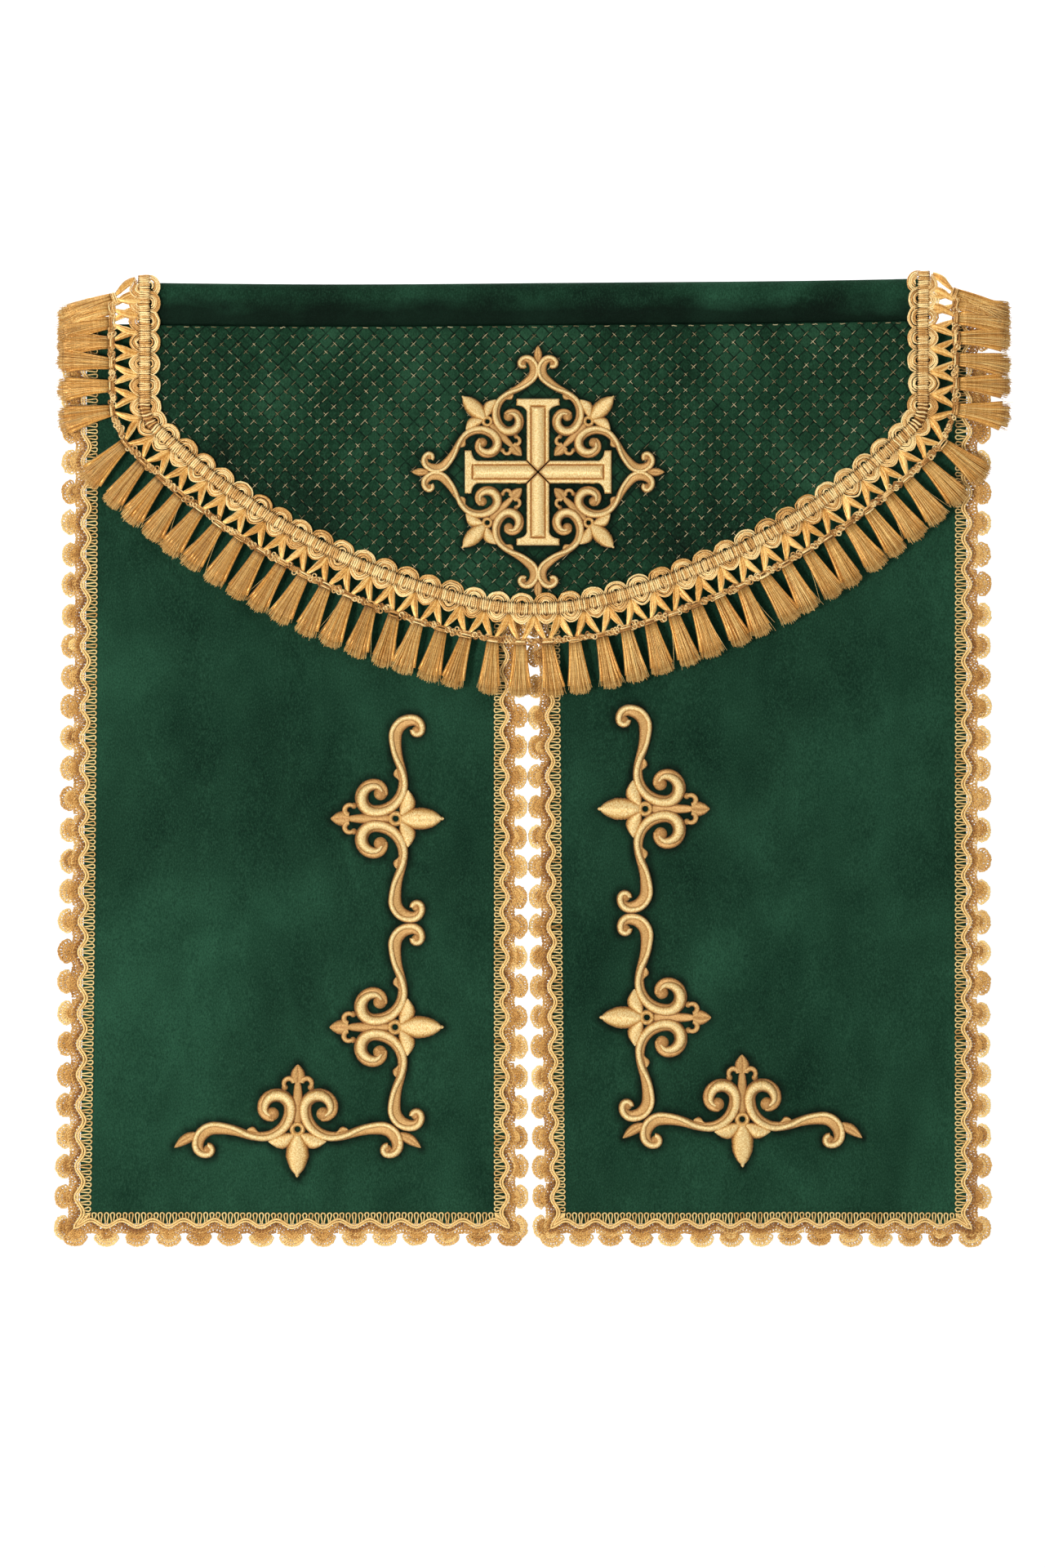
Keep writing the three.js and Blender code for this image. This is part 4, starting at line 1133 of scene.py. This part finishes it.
def scroll_line(step=0.55):
    """The scroll's centre line: arcs end to end, sampled evenly, with its direction."""
    u, v, heading = SCROLL_START
    points, headings = [np.array([[u, v]])], [np.array([heading])]
    for radius, turn in SCROLL_ARCS:
        angle = math.radians(turn)
        n = max(3, int(abs(angle) * radius / step))
        h = heading + angle * np.arange(1, n + 1) / n
        bend = math.copysign(radius, turn)
        along = u + bend * (np.sin(h) - math.sin(heading))
        up = v - bend * (np.cos(h) - math.cos(heading))
        points.append(np.stack([along, up], -1))
        headings.append(h)
        u, v = points[-1][-1]
        heading = h[-1]
    return np.concatenate(points), np.concatenate(headings)


def along_scroll(share, column):
    """One column of SCROLL_BODY read at these shares, with its corners rubbed smooth."""
    read = np.interp(share, SCROLL_BODY[:, 0], SCROLL_BODY[:, column])
    for _ in range(20):
        read[1:-1] = (read[:-2] + 2 * read[1:-1] + read[2:]) / 4
    return read


def cushion(work, place, u, v, rise, threads, tone):
    """A padded band over a grid: its top, and straight sides down to a flat underside."""
    flat = place(u, v, 0 * rise)
    ring = np.concatenate([place(u, v, rise), flat[:, -1:], flat[:, :1]], axis=1)
    rows, columns = ring.shape[:2]
    faces = [
        grid_faces(rows, columns, around=True),
        np.arange(columns)[None],
        (rows - 1) * columns + np.arange(columns)[::-1][None],
    ]
    if place.flip < 0:
        faces = [face[:, ::-1] for face in faces]
    wide = [np.concatenate([x, x[:, -1:], x[:, :1]], axis=1) for x in (*threads, tone + 0 * rise)]
    return work.add(ring, faces, np.stack(wide[:2], -1), wide[2])


class Stitching:
    """Embroidery drawn flat in its own (u, v) frame and laid on the cloth by place()."""

    def __init__(self, place):
        self.rope, self.flat, self.place = Work(), Work(), place

    def ribbon(self, work, line, headings, width, shift, height, base, power, slant, across=11):
        """A padded band along a line: across it the height is (1 - q^2)^power of the full height,
        and the underside is flat on the cloth. Threads run across, leaning by slant."""
        q = np.sin(np.linspace(-1, 1, across) * math.pi / 2)[None]
        n = len(line)
        edge = 1 + rng.normal(0, 0.014, (n, 1)) * (np.abs(q) > 0.9)
        off = q * width[:, None] / 2 * edge + shift[:, None]
        rise = base + height[:, None] * np.clip(1 - q * q, 0, 1) ** power
        rise = rise * (1 + 0.035 * rng.normal(0, 1, (n, 1)))
        u = line[:, :1] - np.sin(headings)[:, None] * off
        v = line[:, 1:] + np.cos(headings)[:, None] * off
        run = np.linalg.norm(np.diff(line, axis=0, prepend=line[:1]), axis=-1).cumsum()[:, None]
        # the tone falls to the band's edges: painted shade where the threads dip to the cloth
        tone = 0.75 - 0.75 * np.abs(q) ** 4
        cushion(work, self.place, u, v, rise, (run + slant * np.abs(off), off), tone)

    def curl(self, work, u, v, radius, start, end, width, height):
        """A short band round the arc of a circle from one angle to another, narrowing to its end."""
        a = np.radians(np.linspace(start, end, 22))
        line = np.stack([u + radius * np.cos(a), v + radius * np.sin(a)], -1)
        headings = a + math.copysign(math.pi / 2, end - start)
        wide = width * (1 - 0.25 * np.linspace(0, 1, 22) ** 2)
        self.ribbon(work, line, headings, wide, 0 * wide, height + 0 * wide, 0.3, 0.4, 0.0, 7)

    def dome(self, work, u, v, radius, height, hole=0.0, steps=9):
        """A round boss, or with a hole a ring: height follows a half sine from rim to middle."""
        a = np.linspace(0, TAU, 29)[:-1]
        r = np.linspace(radius, max(hole, 0.02), steps)
        share = np.clip((radius - r) / (radius - hole), 0, 1)
        bow = np.sin(math.pi * share) ** 0.6 if hole else np.sin(math.pi / 2 * share) ** 0.6
        r = np.concatenate([r, [r[-1], radius]])[:, None]
        h = np.concatenate([height * bow, [0.0, 0.0]])[:, None]
        uu, vv = u + r * np.cos(a), v + r * np.sin(a)
        rows = self.place(uu, vv, h + 0 * uu)
        face = grid_faces(*uu.shape, around=True)
        # rows run from the rim inwards, so the faces turn the other way from a cushion's
        if self.place.flip > 0:
            face = face[:, ::-1]
        work.add(rows, [face], np.stack([vv + 0.4 * uu, uu], -1), 0.5)

    def leaf(self, work, u0, v0, u1, v1, width, height, belly=0.5, bow=0.0, vein=0.35, tip=1.0):
        """An almond: half width is sin(pi t^k) to a power, the height falls from a ridge to the rim
        with a groove along the vein, and the middle line bows sideways."""
        t = np.linspace(0.0, 1.0, 30)[:, None]
        q = np.sin(np.linspace(-1, 1, 15) * math.pi / 2)[None]
        k = math.log(0.5) / math.log(belly)
        half = width / 2 * np.maximum(np.sin(math.pi * t**k), 0) ** (0.75 * tip) + 0.05
        half = np.where(t < belly, np.maximum(half, width * 0.2), half)
        half = half * (1 + 0.02 * rng.normal(0, 1, t.shape))
        du, dv = u1 - u0, v1 - v0
        length = math.hypot(du, dv)
        off = q * half + bow * np.sin(math.pi * t)
        u = u0 + t * du - off * dv / length
        v = v0 + t * dv + off * du / length
        fall = 0.35 + 0.65 * np.sin(math.pi * np.clip(t, 0, 0.97)) ** 0.4
        rise = height * np.clip(1 - np.abs(q) ** 2.6, 0, 1) ** 0.6 * fall + 0.1
        rise = rise * (1 - vein * np.exp(-((q / 0.16) ** 2)))
        rise = rise * (1 + 0.04 * rng.normal(0, 1, t.shape))
        # the tone falls to the rim and along the vein: painted shade at the edges and in the groove
        tone = 0.7 - 0.7 * np.abs(q) ** 4 - 0.3 * np.exp(-((q / 0.12) ** 2)) * (vein > 0)
        threads = (t * length + 0.35 * np.abs(off), off)
        cushion(work, self.place, u, v, rise, threads, tone)


class Place:
    """Lays motif coordinates on the cloth: scaled, turned by an angle, at (x, z), y outwards.

    Seen from the front, u x v points at the viewer; a flip of -1 turns v over, and faces with it.
    """

    def __init__(self, x, z, turn, scale=1.0, y=0.0, flip=1.0):
        self.x, self.z, self.scale, self.y, self.flip = x, z, scale, y, flip
        self.c, self.s = math.cos(math.radians(turn)), math.sin(math.radians(turn))

    def mirrored(self, flip):
        """The same place with v turned over when flip is -1."""
        other = Place(self.x, self.z, 0, self.scale, self.y, self.flip * flip)
        other.c, other.s = self.c, self.s
        return other

    def __call__(self, u, v, rise):
        u, v = np.asarray(u) * self.scale, np.asarray(v) * self.scale * self.flip
        x = self.x + u * self.c - v * self.s
        z = self.z + u * self.s + v * self.c
        return np.stack([x, self.y - np.asarray(rise) * (0.4 + 0.6 * self.scale), z], -1)


def stitch_motif(place, buds=False):
    """Two mirrored scrolls, their knobs, eyelet, leaves, a trefoil and small burrs.

    Places are (u, v) in millimetres from the eyelet, u being the way that the middle leaf points.
    Flat satin stitch lies under everything; the rope is padded and runs on it.
    """
    work = Stitching(place)
    line, headings = scroll_line()
    run = np.linalg.norm(np.diff(line, axis=0, prepend=line[:1]), axis=-1).cumsum()
    share = run / run[-1]
    full, rope, shift = (along_scroll(share, column) for column in (1, 2, 3))
    ease = np.minimum(1, np.minimum(share, 1 - share) / 0.03 + 0.2) ** 0.5
    for flip in (1, -1):
        work.place = place.mirrored(flip)
        work.ribbon(work.flat, line, headings, full, 0 * full, 1.0 + 0 * full, 0.3, 0.25, 0.0, 7)
        work.ribbon(work.rope, line, headings, rope, shift, (1.0 + 0.42 * rope) * ease, 0.5, 0.5, 0.35)
        work.dome(work.flat, -9.3, 15.4, 4.1, 2.3)
        work.dome(work.flat, 13.0, 53.6, 3.4, 2.0)
        work.leaf(work.rope, 3.4, 2.2, 7.6, 17.6, 9.4, 3.0, 0.48, -2.0, 0.0)
        work.curl(work.flat, -28.0, 5.3, 3.1, 262, 48, 3.5, 1.3)
        work.dome(work.flat, -25.6, 7.9, 1.9, 1.5, 0.0, 5)
        work.leaf(work.flat, 2.4, 23.6, 0.4, 30.6, 3.8, 1.3, 0.6, 0.9, 0.0)
        if buds:
            work.leaf(work.flat, 2.8, 59.6, 11.6, 74.6, 6.4, 1.7, 0.45, 1.0, 0.3)
    work.place = place
    work.dome(work.rope, 0, 0, 4.8, 2.2, 1.8)
    work.leaf(work.rope, 3.2, 0, 28.2, 0, 13.6, 3.8, 0.47, 0.0, 0.0, 0.8)
    work.leaf(work.rope, 25.6, 0, 29.6, 0, 2.4, 1.6, 0.6, 0.0, 0.0)
    work.leaf(work.flat, -3.4, 0, -30.0, 0, 6.4, 1.2, 0.35, 0.0, 0.0, 0.4)
    work.leaf(work.flat, -27.6, 0, -39.8, 0, 9.0, 1.8, 0.42, 0.0, 0.4)
    return work


# ---- Motifs on the curtains and round the cross ---------------------------------------------
LEAF_REACH = 28.6  # from a motif's eyelet to the side of its CAD node's box that its leaf points at


def scroll_place(node, side, base=False):
    """The motif's frame on its curtain, from its CAD node's box."""
    low, high = box_mm(node)
    if base:
        return Place((low[0] + high[0]) / 2, low[2] + LEAF_REACH, 270, 1.0, CURTAIN_FRONT)
    x = high[0] - LEAF_REACH if side < 0 else low[0] + LEAF_REACH
    return Place(x, (low[2] + high[2]) / 2, 0 if side < 0 else 180, 1.0, CURTAIN_FRONT)


def sewn(motif, name, node):
    """A motif's padded ropes and its flat stitch, as two pieces that stand for one CAD node."""
    rope = motif.rope.mesh(name + "_ropes", ROPE_GOLD, "gold_embroidery")
    flat = motif.flat.mesh(name + "_flat_stitch", FLAT_GOLD, "gold_embroidery")
    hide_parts(node)
    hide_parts(node)
    return [rope, flat]


def curtain_embroidery(side, word):
    """Three motifs down the inner side and along the foot of one curtain, bent with its cloth."""
    pieces = []
    for name in ("upper_scroll", "lower_scroll", "base_scroll"):
        node, base = f"{word}_{name}", name == "base_scroll"
        motif = stitch_motif(scroll_place(node, side, base), base)
        motif.rope.shaped(curtain_hang(side))
        motif.flat.shaped(curtain_hang(side))
        pieces += sewn(motif, node, node)
    return pieces


ARM_LOW, ARM_HIGH = box_mm("cross_right_arm")
BELOW_LOW, BELOW_HIGH = box_mm("cross_bottom_arm")
CROSS_X = (BELOW_LOW[0] + BELOW_HIGH[0]) / 2
CROSS_Z = (ARM_LOW[2] + ARM_HIGH[2]) / 2
ARM_REACH = ARM_HIGH[0] - CROSS_X
FOOT_WIDTH = ARM_HIGH[2] - ARM_LOW[2]


def cross_arm(turn):
    """One arm: a stitched border with a padded band on it, pointed at the middle, flared at the foot.

    Half width grows with distance from the middle until it is the shaft's, then flares to the foot
    along a quarter ellipse. Across the shaft lie a round band, a groove and a round border.
    """
    place = Place(CROSS_X, CROSS_Z, turn, 1.0, PANEL_FRONT - 0.1)
    shaft, foot, flare_at, foot_at = 7.0, FOOT_WIDTH / 2, ARM_REACH - 8.6, ARM_REACH - 4.4
    t = np.concatenate(
        [
            np.linspace(0.8, 8.0, 16),
            np.linspace(8.8, flare_at - 0.4, 34),
            np.linspace(flare_at, ARM_REACH, 24),
        ]
    )[:, None]
    q = np.linspace(-1, 1, 35)[None]
    flare = np.clip((t - flare_at) / (foot_at - flare_at), 0, 1)
    half = np.minimum(t - 0.35, shaft) + (foot - shaft) * (1 - np.sqrt(1 - flare**2))
    off = q * half * (1 + 0.014 * rng.normal(0, 1, t.shape) * (np.abs(q) > 0.95))
    a = np.abs(off)
    beyond = 1 - (a - shaft) / (foot - shaft)
    lip = flare_at + (foot_at - flare_at) * np.sqrt(np.clip(1 - beyond**2, 0, 1))
    lip = np.where(a > shaft, lip, -9.0)
    rim = np.minimum(np.minimum(half - a, ARM_REACH - t), t - lip).clip(0, 1.5)
    hem = 1.9 * np.sqrt(1 - (1 - rim / 1.5) ** 2)
    ends = np.clip((foot_at - 0.9 - t) / 1.3, 0, 1) ** 0.5
    band = 3.6 * np.sqrt(np.clip(1 - (a / 3.95) ** 2, 0, 1)) * ends
    beside = np.exp(-(((a - 4.25) / 0.42) ** 2)) * ends
    gap = beside + np.exp(-(((t - foot_at + 0.5) / 0.5) ** 2)) * (a < 4.6)
    nose = np.clip((t - 0.8 - a * 0.9) / 1.6, 0, 1) ** 0.5
    rise = np.maximum(band * nose, hem - 1.1 * np.clip(gap, 0, 1) * (rim > 0.6))
    rise = rise.clip(0.0) * (1 + 0.025 * rng.normal(0, 1, t.shape))
    # edge marks painted shade in the grooves, at the rim and at the pointed end by the middle
    edge = 0.8 * np.clip(gap, 0, 1) + 0.5 * (rim < 0.25) + 0.25 * (1 - nose)
    threads = (t + np.where(a > 4.2, 0.0, 0.12 * off), off)
    return cushion(Work(), place, t + 0 * off, off, rise, threads, 0.75 - edge.clip(0, 0.75))


def cross():
    """Four arms, four corner scroll groups and a bud at each tip of the frame."""
    pieces = []
    for word, turn in (("right", 0), ("top", 90), ("left", 180), ("bottom", 270)):
        arm = cross_arm(turn).mesh(f"cross_{word}_satin", ROPE_GOLD, "gold_embroidery")
        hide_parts(f"cross_{word}_arm")
        pieces.append(arm)
    scale, corner = 0.745, 31.0
    for i, word in enumerate(("upper_right", "upper_left", "lower_left", "lower_right")):
        turn = math.radians(45 + 90 * i)
        x = CROSS_X + corner * math.sqrt(2) * math.cos(turn)
        z = CROSS_Z + corner * math.sqrt(2) * math.sin(turn)
        motif = stitch_motif(Place(x, z, math.degrees(turn), scale, PANEL_FRONT))
        pieces += sewn(motif, f"cross_{word}", f"cross_scroll_{word}")
    buds = Work()
    for turn in (0, 90, 180, 270):
        stitching = Stitching(Place(CROSS_X, CROSS_Z, turn, 1.0, PANEL_FRONT))
        stitching.leaf(buds, 67.0, 0, 77.4, 0, 5.2, 1.6, 0.45, 0.0, 0.4)
    pieces.append(buds.mesh("cross_tip_buds", FLAT_GOLD, "gold_embroidery"))
    return pieces


# ---- Joining the pieces ---------------------------------------------------------------------
def bend_at_seam(piece):
    """Bakes the piece's placing into its points. The cloth turns into the valance just under the sleeve,
    but no bend is made here.
    """
    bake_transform(piece)


def bend_at_fold(piece):
    """Bakes the piece's placing into its points; the curtain's bend over 20 mm of cloth about its fold line
    is not made here.
    """
    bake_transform(piece)


def places_of(piece):
    """A piece's points in millimetres, as an array."""
    flat = np.empty(3 * len(piece.data.vertices), np.float32)
    piece.data.vertices.foreach_get("co", flat)
    return flat.reshape(-1, 3).astype(float) / MM


def paint_stitch_shade(cloth, stitched, reach=3.0):
    """Painted shade round the stitching: sets a cloth's tone to exp(-(d / reach)^2), d being the
    distance to the nearest stitching.
    """
    at = places_of(cloth)
    near = np.zeros(len(at))
    for piece in stitched:
        foot = places_of(piece)[::7, [0, 2]]
        low, high = foot.min(0) - 3 * reach, foot.max(0) + 3 * reach
        inside = np.all((at[:, [0, 2]] > low) & (at[:, [0, 2]] < high), axis=1)
        gap = at[inside][:, None, [0, 2]] - foot[None]
        away = np.sqrt((gap**2).sum(-1).min(1)) if inside.any() else np.zeros(0)
        near[inside] = np.maximum(near[inside], np.exp(-((away / reach) ** 2)))
    cloth.data.attributes["tone"].data.foreach_set("value", near.astype(np.float32))


def build():
    """Every piece, and for some of them the body they ride on."""
    seam_binding()
    rod_sleeve()
    panel, lining = valance()
    stitches = lattice_stitches()
    heads, rows = fringe()
    embroidery = cross()
    # painted shade on the valance round the cross
    paint_stitch_shade(panel, embroidery)
    for piece in (panel, lining, stitches, *heads, rows[0], rows[-1]):
        bend_at_seam(piece)
    for piece in (*rows[1:-1], *embroidery):
        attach(piece, "valance")
    for sheet, trims in ((panel, [stitches, *heads]), (lining, [])):
        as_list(trims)
    for side, word in ((-1, "left"), (1, "right")):
        cloths, (wide, long) = curtain_cloth(side, word)
        laces = curtain_laces(side, word)
        stitched = curtain_embroidery(side, word)
        # painted shade on the curtain round its motifs
        paint_stitch_shade(cloths[0], stitched, 3.4)
        for piece in (*cloths, *laces[:2]):
            bend_at_fold(piece)
        for piece in (laces[2], *stitched[2:]):
            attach(piece, word + "_leaf")
        for piece in stitched[:2]:
            bend_at_fold(piece)
        for cloth, trims in zip(cloths, (laces, [])):
            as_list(trims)


# ---- Studio ---------------------------------------------------------------------------------
def light(name, place, aim, energy, size):
    """A round soft lamp at a place, turned to face what it aims at."""
    data = bpy.data.lights.new(name, "AREA")
    data.energy, data.shape, data.size = energy, "DISK", size
    lamp = bpy.data.objects.new(name, data)
    bpy.context.scene.collection.objects.link(lamp)
    lamp.location = place
    way = np.array(aim) - np.array(place)
    flat = math.hypot(way[0], way[1])
    lamp.rotation_euler = (math.atan2(flat, -way[2]), 0, math.atan2(-way[0], way[1]))


def one_sided(material):
    """Shows a material on the front of a face only, so that a view from behind sees past it."""
    tree = material.node_tree
    shader = tree.nodes["Principled BSDF"]
    surface = next(n for n in tree.nodes if n.type == "OUTPUT_MATERIAL").inputs["Surface"]
    side = tree.nodes.new("ShaderNodeNewGeometry")
    clear = tree.nodes.new("ShaderNodeBsdfTransparent")
    mix = tree.nodes.new("ShaderNodeMixShader")
    tree.links.new(side.outputs["Backfacing"], mix.inputs[0])
    tree.links.new(shader.outputs[0], mix.inputs[1])
    tree.links.new(clear.outputs[0], mix.inputs[2])
    tree.links.new(mix.outputs[0], surface)
    return material


LENS, SENSOR = 85, 36
VIEW_HEIGHT = 0.96  # what the camera takes in from top to bottom at the valance, in metres


def studio():
    """Pale room, soft lamps and a long-lens camera square to the front."""
    world = bpy.data.worlds.new("studio")
    bpy.context.scene.world = world
    world.use_nodes = True
    background = world.node_tree.nodes["Background"]
    background.inputs["Color"].default_value = (1, 1, 1, 1)
    background.inputs["Strength"].default_value = 0.55
    middle = (0, 0, -0.29)
    light("key", (-1.25, -1.9, -0.5), middle, 33, 0.5)
    light("fill", (1.2, -1.5, 0.75), middle, 7, 1.2)
    light("backdrop wash", (0, 0.6, 1.2), (0, 1.6, -0.2), 22, 1.6)
    pale = one_sided(Finish("pale paper", Roughness=0.95).finish((0.93, 0.93, 0.93, 1)))
    for name, size, place, turn in (
        ("floor", 8, (0, 0, -0.86), 0),
        ("backdrop", 8, (0, 1.6, 1.5), math.pi / 2),
    ):
        bpy.ops.mesh.primitive_plane_add(size=size, location=place, rotation=(turn, 0, 0))
        sheet = bpy.context.active_object
        sheet.name = name
        sheet.data.materials.append(pale)
    camera = bpy.data.objects.new("camera", bpy.data.cameras.new("camera"))
    bpy.context.scene.collection.objects.link(camera)
    camera.data.lens = LENS
    camera.data.sensor_width = SENSOR
    camera.location = (-0.007, PANEL_FRONT * MM - LENS / SENSOR * VIEW_HEIGHT, -0.2955)
    camera.rotation_euler = (math.pi / 2, 0, 0)
    bpy.context.scene.camera = camera
    bpy.context.scene.view_settings.view_transform = "Standard"


studio()
build()
